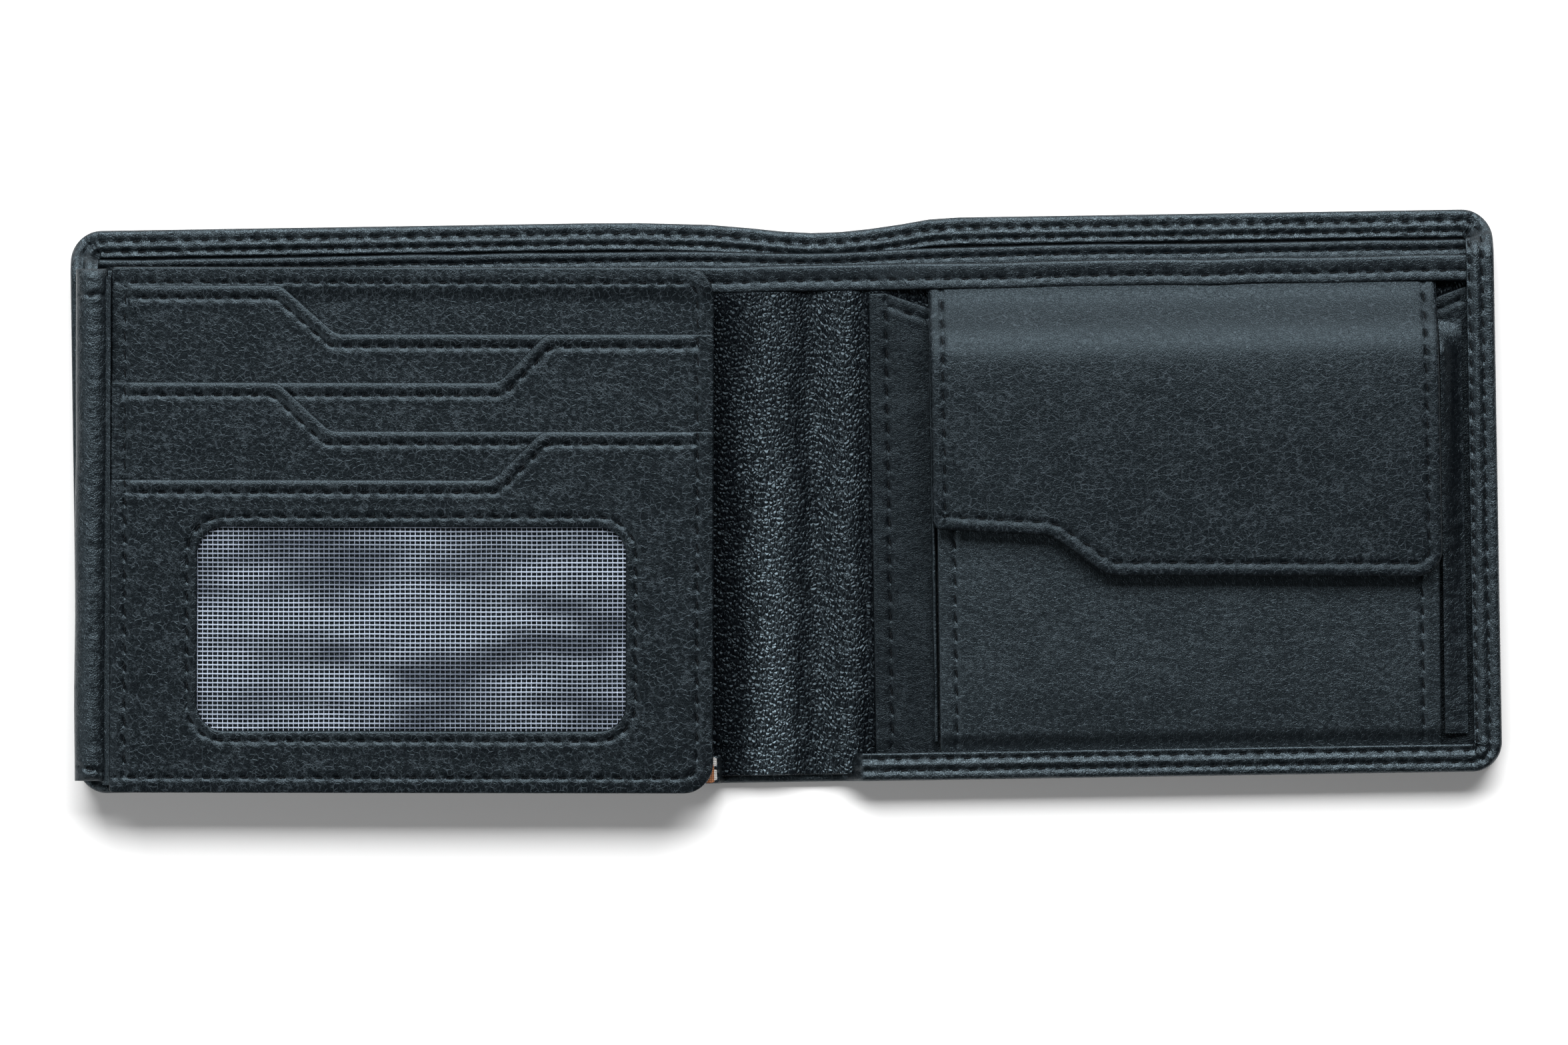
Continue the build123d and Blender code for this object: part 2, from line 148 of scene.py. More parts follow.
class Line:
    """A path in plan that finds how far along it, and how far to its left, a point is."""

    def __init__(self, points, closed=False, step=0.3):
        points = np.asarray(points, float)
        if closed:
            points = np.vstack([points, points[:1]])
        reach = np.concatenate([[0], np.cumsum(np.hypot(*np.diff(points, axis=0).T))])
        count = max(3, int(round(reach[-1] / step)) + 1)
        self.length = reach[-1]
        self.s = np.linspace(0, self.length, count)
        self.xy = np.stack([np.interp(self.s, reach, points[:, k]) for k in (0, 1)], 1)
        if closed:
            self.s, self.xy = self.s[:-1], self.xy[:-1]
            ahead = np.roll(self.xy, -1, 0) - np.roll(self.xy, 1, 0)
        else:
            ahead = np.gradient(self.xy, axis=0)
        self.along = ahead / np.linalg.norm(ahead, axis=1)[:, None]
        self.left = np.stack([-self.along[:, 1], self.along[:, 0]], 1)
        self.tree = None

    def snap(self, x):
        """Move the nearest point of each straight run that crosses x onto it."""
        crossing = np.where((self.xy[:, 0] - x) * (np.roll(self.xy[:, 0], -1) - x) <= 0)[0]
        for i in crossing:
            other = (i + 1) % len(self.xy)
            near = min((i, other), key=lambda k: abs(self.xy[k, 0] - x))
            self.xy[near, 0] = x
            self.left[near] = (0, np.sign(self.left[near, 1]))

    def project(self, xy):
        """(distance along, distance to the left) of each point."""
        if self.tree is None:
            self.tree = kdtree.KDTree(len(self.xy))
            for i, (x, y) in enumerate(self.xy):
                self.tree.insert((x, y, 0), i)
            self.tree.balance()
        near = np.array([self.tree.find((x, y, 0))[1] for x, y in xy], int)
        gap = xy - self.xy[near]
        along = self.s[near] + (gap * self.along[near]).sum(1)
        return along, (gap * self.left[near]).sum(1)

    def at(self, s):
        """Point and left direction at each distance along the path."""
        point = np.stack([np.interp(s, self.s, self.xy[:, k]) for k in (0, 1)], -1)
        left = np.stack([np.interp(s, self.s, self.left[:, k]) for k in (0, 1)], -1)
        return point, left


def rounded(corners, radii, closed=True):
    """The points of a path whose corners are arcs of the given radii."""
    corners = [np.array(c, float) for c in corners]
    path = []
    for i, (corner, radius) in enumerate(zip(corners, radii)):
        inner = closed or 0 < i < len(corners) - 1
        if not radius or not inner:
            path.append(corner)
            continue
        back = corners[i - 1] - corner
        on = corners[(i + 1) % len(corners)] - corner
        back, on = back / np.linalg.norm(back), on / np.linalg.norm(on)
        half = math.acos(max(-1.0, min(1.0, back @ on))) / 2
        middle = corner + (back + on) / np.linalg.norm(back + on) * radius / math.sin(half)
        start = corner + back * radius / math.tan(half) - middle
        end = corner + on * radius / math.tan(half) - middle
        for t in np.linspace(0, 1, 13):
            spoke = start * (1 - t) + end * t
            path.append(middle + spoke / np.linalg.norm(spoke) * radius)
    return path


def oblong(x, y, radius=0.3):
    """A rectangle's outline, counter-clockwise; radius is one value or one per corner."""
    radii = radius if isinstance(radius, (list, tuple)) else [radius] * 4
    return rounded([(x[0], y[0]), (x[1], y[0]), (x[1], y[1]), (x[0], y[1])], radii)


# ---- shapes ----


class Shape:
    """Points and faces gathered before they become a mesh."""

    def __init__(self):
        self.points = np.zeros((0, 3))
        self.faces = []

    def add(self, points, *blocks):
        """Adds points, and blocks of faces numbered from the first of those points."""
        start = len(self.points)
        self.points = np.vstack([self.points, points])
        self.faces += [np.asarray(block, int) + start for block in blocks if len(block)]

    def warp(self, change):
        """Moves the points by a function of their three coordinates."""
        x, y, z = self.points.T
        self.points = np.stack(change(x, y, z), 1)
        return self


def loft(shape, rings):
    """A closed skin over rings of points: an array of ring, point and coordinate."""
    rings = np.asarray(rings, float)
    count, size = rings.shape[:2]
    here = np.arange(count * size).reshape(count, size)
    beside = np.roll(here, -1, 1)
    walls = np.stack([here[:-1], beside[:-1], beside[1:], here[1:]], -1).reshape(-1, 4)
    shape.add(rings.reshape(-1, 3), walls, here[0][::-1][None], here[-1][None])


def grid_points(low, high, spacing, seed):
    """A triangular grid with a little seeded scatter."""
    rows = np.arange(low[1], high[1], spacing * 0.866)
    columns = np.arange(low[0], high[0], spacing)
    x, y = np.meshgrid(columns, rows)
    x[1::2] += spacing / 2
    scatter = np.random.RandomState(seed).uniform(-0.12, 0.12, (2, *x.shape)) * spacing
    return np.stack([x + scatter[0], y + scatter[1]], -1).reshape(-1, 2)


def scatter(low, high, spacing, coarse, shown, seed):
    """Points in a box: close together where shown, and far apart elsewhere."""
    fine = grid_points(low, high, spacing, seed)
    wide = grid_points(low, high, coarse, seed + 1)
    return np.vstack([fine[shown(*fine.T)], wide[~shown(*wide.T)]])


def triangulate(flat, edges):
    """(points, triangles, the given points that each point comes from)."""
    made = geometry.delaunay_2d_cdt([tuple(p) for p in flat], edges, [], 1, 1e-6, True)
    triangles = np.array([face for face in made[2] if len(face) == 3])
    return np.array([tuple(point) for point in made[0]]), triangles, made[3]


def everywhere(x, y):
    """A panel that is shown in full."""
    return np.ones(x.shape, bool)


def nowhere(x, y):
    """A panel that is hidden in full."""
    return np.zeros(x.shape, bool)


def along_rows(points, rows):
    """The points, with finer ones in place of those beside each row of stitches."""
    for row in rows:
        near = ((points > row.low) & (points < row.high)).all(1)
        _, across = row.line.project(points[near])
        near[near] = np.abs(across) < 0.7
        points = points[~near]
    for row in rows:
        point, left = row.line.at(np.arange(0, row.line.length, row.pitch / 10))
        lanes = [point + left * shift for shift in (-0.5, -0.22, 0.0, 0.22, 0.5)]
        points = np.vstack([points, *lanes])
    return points


# A rounded edge in section: how far in and how far down, in radii
ROUND = [(0.0, 1.0), (0.134, 0.5), (0.5, 0.134), (1.0, 0.0)]


def skin(borders, height, spacing, coarse, shown, edge, cut, sign, rows=()):
    """One face of a panel: (points, triangles, where each border's outer ring is)."""
    flat, drops, loops = [], [], []
    total = 0
    for border in borders:
        size = len(border.xy)
        loops.append((total, size))
        for inset, drop in ROUND:
            flat.append(border.xy + border.left * inset * edge)
            drops.append(np.full(size, drop * edge))
            total += size
    edges = [(a + i, a + (i + 1) % n) for a, n in loops for i in range(n)]
    low, high = borders[0].xy.min(0), borders[0].xy.max(0)
    inside = along_rows(scatter(low, high, spacing, coarse, shown, 1), rows)
    room = edge + 0.3 * spacing
    for border in borders:
        inside = inside[border.project(inside)[1] > room]
    if cut is not None:
        inside = inside[np.abs(inside[:, 0] - cut) > 0.4 * spacing]
        ends = [i for a, n in loops for i in range(a, a + n) if flat[0][i - a][0] == cut]
        ends.sort(key=lambda i: flat[0][i][1])
        y = flat[0][ends, 1]
        column = np.arange(y[0] + room, y[1] - room, spacing)
        chain = [ends[0], *range(total, total + len(column)), ends[1]]
        inside = np.vstack([np.stack([np.full(len(column), cut), column], 1), inside])
        edges += list(zip(chain[:-1], chain[1:]))
    flat.append(inside)
    drops.append(np.zeros(len(inside)))
    flat, drops = np.vstack(flat), np.concatenate(drops)
    xy, triangles, origins = triangulate(flat, edges)
    source = np.array([origin[0] if origin else -1 for origin in origins])
    z = height(xy[:, 0], xy[:, 1]) - sign * np.where(source >= 0, drops[source], 0)
    for border in borders:
        middle = xy[triangles].mean(1)
        triangles = triangles[border.project(middle)[1] > 0]
    number = np.zeros(len(flat), int)
    for new, origin in enumerate(origins):
        number[origin] = new
    rings = [number[a : a + n] for a, n in loops]
    return np.column_stack([xy, z]), triangles, rings


def panel(
    outlines, top, under, spacing=0.6, coarse=2.5, shown=everywhere, edge=0.3, under_edge=0.12,
    cut=None, rows=(), shape=None
):
    """A sheet with rounded edges between two height functions; outlines[1:] are holes."""
    shape = shape or Shape()
    borders = [Line(path, closed=True, step=0.5) for path in outlines]
    if cut is not None:
        borders[0].snap(cut)
    upper, faces, rings = skin(borders, top, spacing, coarse, shown, edge, cut, 1, rows)
    folds = nowhere if cut is None else shown
    gap = max(spacing, 1.2)
    lower, back, low_rings = skin(borders, under, gap, coarse, folds, under_edge, cut, -1)
    start = len(upper)
    blocks = [faces, back[:, ::-1] + start]
    for high, low in zip(rings, low_rings):
        low = low + start
        blocks.append(np.stack([high, low, np.roll(low, -1), np.roll(high, -1)], 1))
    shape.add(np.vstack([upper, lower]), *blocks)
    return shape


def level(z):
    """A height function that is the same everywhere."""
    return lambda x, y: np.full(np.shape(x), float(z))


# ---- stitching ----


# How hard a single row draws the leather down, next to the rows of the turned edge
ROW_DRAW = 0.7
THREAD_RADIUS = 0.14
# How far a stitch's middle stands over the leather, its ends sink, and it lies aslant
THREAD_RISE, THREAD_DIP, THREAD_SLANT = 0.13, 0.25, 0.22


def seam(along, across, pitch, pucker, draw=1.0):
    """How far a row of stitches draws the leather down or lets it up."""
    phase = along / pitch
    to_hole = (phase - np.round(phase)) * pitch
    groove = -0.16 * draw * bell(across, 0.45)
    hole = -0.27 * np.exp(-((across / 0.23) ** 2) - (to_hole / 0.8) ** 6)
    swell = 0.06 * draw * bell(np.abs(across) - 1.05, 0.5)
    wave = -pucker * np.cos(2 * np.pi * phase) * bell(across, 1.1)
    return groove + hole + swell + wave


class Row:
    """One row of stitches along a path in plan."""

    def __init__(self, points, pitch=PITCH, pucker=0.025, closed=False, roll=0.0):
        self.roll = roll
        self.line = Line(points, closed=closed, step=0.25)
        self.pitch = self.line.length / max(1, round(self.line.length / pitch))
        self.pucker = pucker
        self.low = self.line.xy.min(0) - 3
        self.high = self.line.xy.max(0) + 3

    def relief(self, x, y):
        """Height change of the leather at each point."""
        change = np.zeros(np.shape(x))
        xy = np.stack([x, y], -1)
        near = ((xy > self.low) & (xy < self.high)).all(-1)
        if near.any():
            along, across = self.line.project(xy[near])
            within = np.clip(np.minimum(along, self.line.length - along) + 0.5, 0, 1)
            pull = seam(along, across, self.pitch, self.pucker, ROW_DRAW)
            out = across * math.copysign(1, self.roll)
            pull = pull + abs(self.roll) * bell(out - 1.2, 0.62)
            change[near] = pull * within
        return change


def sewn(base, rows):
    """A height function that also carries the relief of rows of stitches."""
    return lambda x, y: base(x, y) + sum(row.relief(x, y) for row in rows)


def threads(shape, at, length, pitch, height, radius=THREAD_RADIUS):
    """The thread of each stitch, which dips into a hole at both ends."""
    starts = np.arange(pitch, length - pitch * 0.5, pitch)
    t = np.linspace(0, 1, 9)
    end = np.abs(2 * t - 1) ** 4
    s = starts[:, None] + pitch * 0.52 * (t - 0.5)
    point, left = at(s)
    wobble = (dice(np.round(starts * 7), starts * 0, 5) - 0.5)[:, None] * 0.12
    point = point + left * (THREAD_SLANT * (t - 0.5) + wobble)[..., None]
    z = height(point[..., 0].ravel(), point[..., 1].ravel()).reshape(s.shape)
    z = z + THREAD_RISE - THREAD_DIP * end
    size = radius * (1 - 0.75 * end)
    turn = np.arange(6) / 6 * 2 * np.pi
    sideways = (size[:, None] * np.cos(turn))[None, ..., None] * left[:, :, None, :]
    ring_xy = point[:, :, None, :] + sideways
    ring_z = z[:, :, None] + (size[:, None] * np.sin(turn))[None]
    for xy, rise in zip(ring_xy, ring_z):
        loft(shape, np.concatenate([xy, rise[..., None]], -1))


def stitching(rows, height):
    """The threads of several rows on one surface."""
    made = Shape()
    for row in rows:
        threads(made, row.line.at, row.line.length, row.pitch, height)
    return made


# ---- pieces ----


def to_object(name, shape, look):
    """A mesh object, in metres, with smooth faces."""
    mesh = bpy.data.meshes.new(name)
    faces = [face for block in shape.faces for face in block.tolist()]
    mesh.from_pydata((shape.points * MM).tolist(), [], faces)
    mesh.polygons.foreach_set("use_smooth", np.ones(len(faces), bool))
    mesh.materials.append(look)
    made = bpy.data.objects.new(name, mesh)
    bpy.context.scene.collection.objects.link(made)
    return made


def ride(name, shape, look, body, nodes=()):
    """A finished piece that moves with one body and stands for CAD nodes."""
    made = to_object(name, shape, look)
    made.data.set_sharp_from_angle(angle=math.radians(60))
    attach(made, body)
    return finish_piece(made, nodes)


def finish_piece(made, nodes):
    """Hides the CAD nodes that a piece stands for."""
    if nodes:
        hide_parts(*nodes)
    return made


def trim(shape):
    """Drops the points that no face uses, and returns the numbers of those kept."""
    used = np.unique(np.concatenate([block.ravel() for block in shape.faces]))
    number = np.zeros(len(shape.points), int)
    number[used] = np.arange(len(used))
    shape.points = shape.points[used]
    shape.faces = [number[block] for block in shape.faces]
    return used


def half(shape, sign):
    """The part of a shape on one side of the split, and which points it keeps."""
    kept = Shape()
    kept.points = shape.points
    for block in shape.faces:
        inside = (shape.points[block][..., 0].mean(1) - SPLIT_X) * sign > 0
        if inside.any():
            kept.faces.append(block[inside])
    return kept, trim(kept)


def point_normals(shape):
    """The smooth normal at each point of a whole shape."""
    normals = np.zeros_like(shape.points)
    for block in shape.faces:
        corner = shape.points[block]
        area = np.cross(corner[:, 2] - corner[:, 0], corner[:, -1] - corner[:, 1])
        if block.shape[1] == 3:
            area = np.cross(corner[:, 1] - corner[:, 0], corner[:, 2] - corner[:, 0])
        for k in range(block.shape[1]):
            np.add.at(normals, block[:, k], area)
    return normals / np.maximum(np.linalg.norm(normals, axis=1), 1e-12)[:, None]


def close_cut(made):
    """Fills the open section that the split leaves."""
    mesh = bmesh.new()
    mesh.from_mesh(made.data)
    open_edges = [edge for edge in mesh.edges if edge.is_boundary]
    bmesh.ops.triangle_fill(mesh, edges=open_edges, use_beauty=False)
    mesh.to_mesh(made.data)
    mesh.free()


# The two pieces of a layer: side of the split, bodies, and where the bend between them
# starts and ends
BENDS = {
    "right": (1, "right_half", "spine", 12.3, 6.3),
    "left": (-1, "spine", "left_half", -3.9, -9.9),
}


def bend(name, shape, look, nodes=(), solid=True):
    """Two pieces that meet at the split, one on each side of it."""
    normals = point_normals(shape)
    made = []
    for side, (sign, first, second, start, end) in BENDS.items():
        part, used = half(shape, sign)
        piece = to_object(f"{name}_{side}", part, look)
        if solid:
            close_cut(piece)
            piece.data.normals_split_custom_set_from_vertices(normals[used].tolist())
        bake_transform(piece)
        stands_for = [n for n in nodes if n.endswith("left") == (side == "left")]
        made.append(finish_piece(piece, stands_for))
    return made


def on_wing(x, y, z):
    """Wing coordinates to the wallet's own."""
    c, s = math.cos(WING_SKEW), math.sin(WING_SKEW)
    y = y - WINDOW_V
    return WING_MIDDLE[0] + x * c + y * s, WING_MIDDLE[1] - x * s + y * c, z


def near_folds(x, y):
    """The strip round the two folds, where a hidden layer needs points to bend."""
    return np.abs(x - SPLIT_X) < 14


# ---- materials ----


class Nodes:
    """A material, with short ways to add shader nodes and join them."""

    def __init__(self, name):
        self.look = bpy.data.materials.new(name)
        self.look.use_nodes = True
        self.tree = self.look.node_tree
        self.shader = self.tree.nodes["Principled BSDF"]
        self.place = self.add("TexCoord").outputs["Object"]

    def feed(self, socket, value):
        """Links another socket to this one, or sets this one's own value."""
        if isinstance(value, bpy.types.NodeSocket):
            self.tree.links.new(value, socket)
        else:
            socket.default_value = value

    def add(self, kind, inputs=(), **settings):
        """A node with its settings, and its inputs by name: a number or a socket."""
        node = self.tree.nodes.new("ShaderNode" + kind)
        for name, value in settings.items():
            setattr(node, name, value)
        for name, value in dict(inputs).items():
            self.feed(node.inputs[name], value)
        return node

    def noise(self, size, detail=2.0, place=None):
        """Noise whose features are about size millimetres across."""
        values = {"Vector": place or self.place, "Scale": 1 / (size * MM), "Detail": detail}
        return self.add("TexNoise", values).outputs["Fac"]

    def cells(self, size, feature, place):
        """Scattered cells about size millimetres across."""
        values = {"Vector": place, "Scale": 1 / (size * MM)}
        return self.add("TexVoronoi", values, feature=feature).outputs["Distance"]

    def borders(self, size, place, low, high, out_low=0.0, out_high=1.0):
        """The distance to the nearest border between cells, remapped."""
        return self.remap(self.cells(size, "DISTANCE_TO_EDGE", place), low, high, out_low, out_high)

    def stretch(self, scale, turn=0.0):
        """The object's coordinates scaled and turned, for a grain with a direction."""
        values = {"Vector": self.place, "Scale": scale, "Rotation": (0, 0, turn)}
        return self.add("Mapping", values).outputs["Vector"]

    def remap(self, value, low, high, out_low=0.0, out_high=1.0):
        """value taken from one range to another, and kept inside it."""
        values = {"Value": value, "From Min": low, "From Max": high}
        values.update({"To Min": out_low, "To Max": out_high})
        return self.add("MapRange", values).outputs["Result"]

    def maths(self, kind, a, b=0.0):
        """One sum of two values."""
        return self.add("Math", {0: a, 1: b}, operation=kind).outputs[0]

    def times(self, a, b):
        """Two values multiplied."""
        return self.maths("MULTIPLY", a, b)

    def blend_colour(self, factor, first, second):
        """One colour where factor is 0 and another where it is 1."""
        node = self.add("Mix", {0: factor}, data_type="RGBA")
        for socket, value in ((node.inputs[6], first), (node.inputs[7], second)):
            self.feed(socket, (*value, 1) if isinstance(value, tuple) else value)
        return node.outputs[2]

    def bump(self, height, depth, under=None):
        """A bump of that depth in millimetres, over another one."""
        values = {"Height": height, "Distance": depth * MM, "Strength": 1.0}
        if under is not None:
            values["Normal"] = under
        return self.add("Bump", values).outputs["Normal"]

    def join(self, **sockets):
        """Sets or links the shader's own inputs; names use _ for a space."""
        for name, value in sockets.items():
            self.feed(self.shader.inputs[name.replace("_", " ")], value)
        return self.look


def polish_and_painted_sheen(n, shine):
    """Polish where the folds rub, and a painted sheen: (specular level, a mask where the leather is
    painted paler as a highlight on the fold's crest and the flank beside it).
    """
    split = n.add("SeparateXYZ", {"Vector": n.place})
    sway = n.times(n.maths("SUBTRACT", n.noise(14.0, 1.0), 0.5), 0.006)
    x = n.maths("ADD", split.outputs["X"], sway)
    crest = n.maths("ABSOLUTE", n.maths("ADD", x, 0.0028))
    crest = n.remap(crest, 0.001, 0.006, 1.0, 0.0)
    crest = n.times(crest, n.remap(split.outputs["Y"], -0.022, 0.022, 1.0, 0.45))
    flank = n.maths("ABSOLUTE", n.maths("SUBTRACT", x, 0.0085))
    flank = n.remap(flank, 0.0025, 0.006, 0.45, 0.0)
    rub_and_sheen = n.maths("MAXIMUM", crest, flank)
    return n.remap(rub_and_sheen, 0.0, 1.0, 0.45 * shine, 2.8 * shine), n.times(rub_and_sheen, 0.07)


# Painted glint: the colour given to leather where a crease or a rubbed fold catches the light, and
# to its painted sheen
GLINT = (0.075, 0.095, 0.112)
SHEEN_TINT = (0.66, 0.87, 1.0, 1.0)


def leather(name, base, grain, depth, crackle, lines, rough, shine, pebbles=0.0):
    """Dyed leather: pebbled grain, pores, and a net of fine creases; painted into its colour are
    shade in the grain's valleys, a glint along the creases, and with pebbles a sheen on the rubbed
    folds.
    """
    n = Nodes(name)
    drift = n.add("TexNoise", {"Vector": n.place, "Scale": 800.0, "Detail": 1.0})
    values = {0: drift.outputs["Color"], 1: (0.0007, 0.0007, 0.0007), 2: n.place}
    warped = n.add("VectorMath", values, operation="MULTIPLY_ADD").outputs[0]
    cell = n.borders(grain, warped, 0.0, 0.2)
    pores = n.noise(0.14, 3.0)
    net = n.borders(crackle, warped, 0.015, 0.075, 1.0, 0.0)
    small = n.borders(crackle * 0.48, warped, 0.02, 0.12, 1.0, 0.0)
    patch = n.remap(n.noise(5.0, 3.0), 0.42, 0.62)
    broken = n.remap(n.noise(0.8, 2.0), 0.38, 0.6)
    small = n.times(small, n.times(patch, broken))
    marks = n.maths("MAXIMUM", n.times(net, broken), n.times(small, 0.8))
    height = n.maths("ADD", cell, n.times(pores, 0.3))
    height = n.maths("SUBTRACT", height, n.times(marks, 1.6))
    normal = n.bump(height, depth)
    mottle = n.remap(n.noise(11.0, 3.0), 0.3, 0.7)
    body = n.blend_colour(mottle, tuple(c * 0.75 for c in base), base)
    # Painted shade: the grain's valleys made near black
    body = n.blend_colour(n.remap(cell, 0.0, 1.0, 0.35, 1.0), (0.001, 0.001, 0.002), body)
    # Painted glint: the net of fine creases made paler
    colour = n.blend_colour(n.times(marks, lines), body, GLINT)
    level = shine
    if pebbles:
        level, painted_sheen = polish_and_painted_sheen(n, shine)
        values = {0: warped, 1: (1.25, 0.85, 1.0)}
        tall = n.add("VectorMath", values, operation="MULTIPLY").outputs[0]
        valley = n.borders(0.74, tall, 0.0, 0.3)
        dome = n.times(n.cells(0.74, "SMOOTH_F1", tall), 0.9)
        normal = n.bump(n.maths("SUBTRACT", valley, dome), pebbles, normal)
        # Painted sheen: paler leather in the middle of each pebble on the fold's crest and flank
        colour = n.blend_colour(n.times(painted_sheen, valley), colour, GLINT)
    roughness = n.remap(n.noise(0.7, 3.0), 0.3, 0.7, *rough)
    surface = {"Base_Color": colour, "Roughness": roughness, "Normal": normal}
    return n.join(**surface, Specular_IOR_Level=level, Specular_Tint=SHEEN_TINT)


def cloth(name, base, pitch):
    """A plain woven fabric, seen as ribs both ways."""
    n = Nodes(name)
    values = {"Vector": n.place, "Scale": 0.314 / (pitch * MM), "Distortion": 0.3}
    waves = [n.add("TexWave", values, bands_direction=way).outputs["Fac"] for way in "XY"]
    fuzz = n.noise(0.15, 3.0)
    height = n.maths("ADD", n.times(*waves), n.times(fuzz, 0.4))
    # Painted shade between the ribs and painted highlight on their crowns: the colour follows the
    # weave's height
    dark, light = tuple(c * 0.5 for c in base), tuple(min(1.0, c * 2.2) for c in base)
    colour = n.blend_colour(n.remap(height, 0.2, 1.2), dark, light)
    roughness = n.remap(fuzz, 0.3, 0.7, 0.75, 0.95)
    normal = n.bump(height, 0.08)
    return n.join(Base_Color=colour, Roughness=roughness, Normal=normal, Sheen_Weight=0.3)


def thread_look():
    """Bonded polyester thread: two dark plies with a glint on each."""
    n = Nodes("thread")
    values = {"Vector": n.stretch((1.0, 1.0, 1.0), 0.6), "Scale": 1100.0, "Distortion": 1.5}
    plies = n.add("TexWave", values).outputs["Fac"]
    colour = n.blend_colour(plies, (0.001, 0.0015, 0.002), (0.006, 0.008, 0.01))
    roughness = n.remap(n.noise(0.2), 0.3, 0.7, 0.5, 0.7)
    normal = n.bump(plies, 0.04)
    surface = {"Base_Color": colour, "Roughness": roughness, "Normal": normal}
    return n.join(**surface, Specular_IOR_Level=0.08)


def mesh_look(name, dark, light):
    """Clear nylon monofilament: a pale blue-grey yarn that lets some light through; long darker and
    paler streaks in its colour are painted reflections.
    """
    n = Nodes(name)
    # Painted reflections: long streaks of darker and paler yarn
    tone = n.noise(6.0, 2.0, n.stretch((0.3, 1.0, 1.0)))
    colour = n.blend_colour(n.remap(tone, 0.37, 0.63), dark, light)
    roughness = n.remap(n.noise(0.4), 0.3, 0.7, 0.22, 0.4)
    return n.join(Base_Color=colour, Roughness=roughness, Transmission_Weight=0.25, IOR=1.5)


def metal_look():
    """Dark nickel with fine turning marks and a little tarnish."""
    n = Nodes("snap_nickel")
    marks = n.noise(0.3, 4.0, n.stretch((1.0, 6.0, 1.0)))
    tarnish = n.remap(n.noise(1.6, 3.0), 0.35, 0.65)
    colour = n.blend_colour(tarnish, (0.32, 0.31, 0.3), (0.2, 0.19, 0.18))
    roughness = n.remap(marks, 0.3, 0.7, 0.22, 0.42)
    normal = n.bump(marks, 0.01)
    return n.join(Base_Color=colour, Roughness=roughness, Metallic=1.0, Normal=normal)


# Colour, grain size, bump depth, crease net size and the strength of its painted glint, roughness,
# shine, pebble depth
LEATHERS = {
    "shell": ((0.003, 0.0045, 0.0055), 0.42, 0.024, 0.9, 0.16, (0.3, 0.42), 0.5),
    "pebbled": ((0.0015, 0.0022, 0.003), 0.3, 0.006, 1.4, 0.04, (0.24, 0.34), 0.26, 0.12),
    "flap": ((0.003, 0.0045, 0.0056), 0.42, 0.02, 1.2, 0.26, (0.34, 0.44), 0.23),
    "pocket": ((0.0013, 0.0022, 0.0028), 0.5, 0.016, 1.05, 0.27, (0.31, 0.41), 0.31),
    "grained": ((0.0032, 0.0047, 0.0058), 0.34, 0.018, 0.8, 0.13, (0.33, 0.43), 0.5),
    # slip: a darker, duller copy of the grained leather; its darkness is painted shade on the slip
    # pocket between the wing and the coin pocket
    "slip": ((0.001, 0.0016, 0.0022), 0.34, 0.018, 0.8, 0.06, (0.32, 0.42), 0.25),
    "binding": ((0.002, 0.003, 0.004), 0.36, 0.018, 0.8, 0.1, (0.32, 0.42), 0.42),
}
SHELL, PEBBLED, FLAP, POCKET, GRAINED, SHADED_SLIP, BINDING = [
    leather(f"{name}_leather", *values) for name, values in LEATHERS.items()
]
LINING = cloth("lining_cloth", (0.008, 0.009, 0.011), 0.35)
THREAD = thread_look()
NYLON = mesh_look("window_mesh_nylon", (0.14, 0.168, 0.22), (0.45, 0.52, 0.63))
# The mesh layer behind: the same nylon painted near black, as painted shade behind the front layer
NYLON_SHADED = mesh_look("window_mesh_under_shaded", (0.008, 0.01, 0.014), (0.03, 0.036, 0.05))
NICKEL = metal_look()
TAN = cloth("label_tan", (0.34, 0.13, 0.05), 0.3)
WHITE = cloth("label_white", (0.62, 0.6, 0.56), 0.3)

# ---- shell ----

# Width of the turned edge, at the sides and top and along the bottom, and its thickness
HEM_W = 4.7
BOTTOM_W = 5.4
LIP_T = 0.7
# How far in from the outline the turned edge's skin meets the flat floor
FLOOR_RING = 4.4
CORNER_R = 5.0
RIM_PITCH = 2.9
# How far the inner row of stitches is shifted along the turned edge
STAGGER = 0.9
# The points of the turned edge's section that lie on its upper face
LIP_POINTS = slice(10, 27)


def shell_dip(x):
    """How far the top edge sags in plan where the wallet folds."""
    marks = (-32, -24, -12, -5, 0, 5, 10, 15, 20, 25, 30)
    depths = (0, 0.1, 0.6, 1.3, 1.9, 2.25, 2.15, 1.7, 1.05, 0.25, 0)
    return np.interp(x, marks, depths)


def sag(share):
    """A warp that lowers a layer's top edge in plan by a share of the shell's dip."""

    def change(x, y, z):
        return x, y - share * shell_dip(x) * ramp(y, 20, 40), z

    return change


perimeter = Line(oblong((-END, END), (BOTTOM, TOP), CORNER_R), closed=True, step=0.4)
perimeter.snap(SPLIT_X)


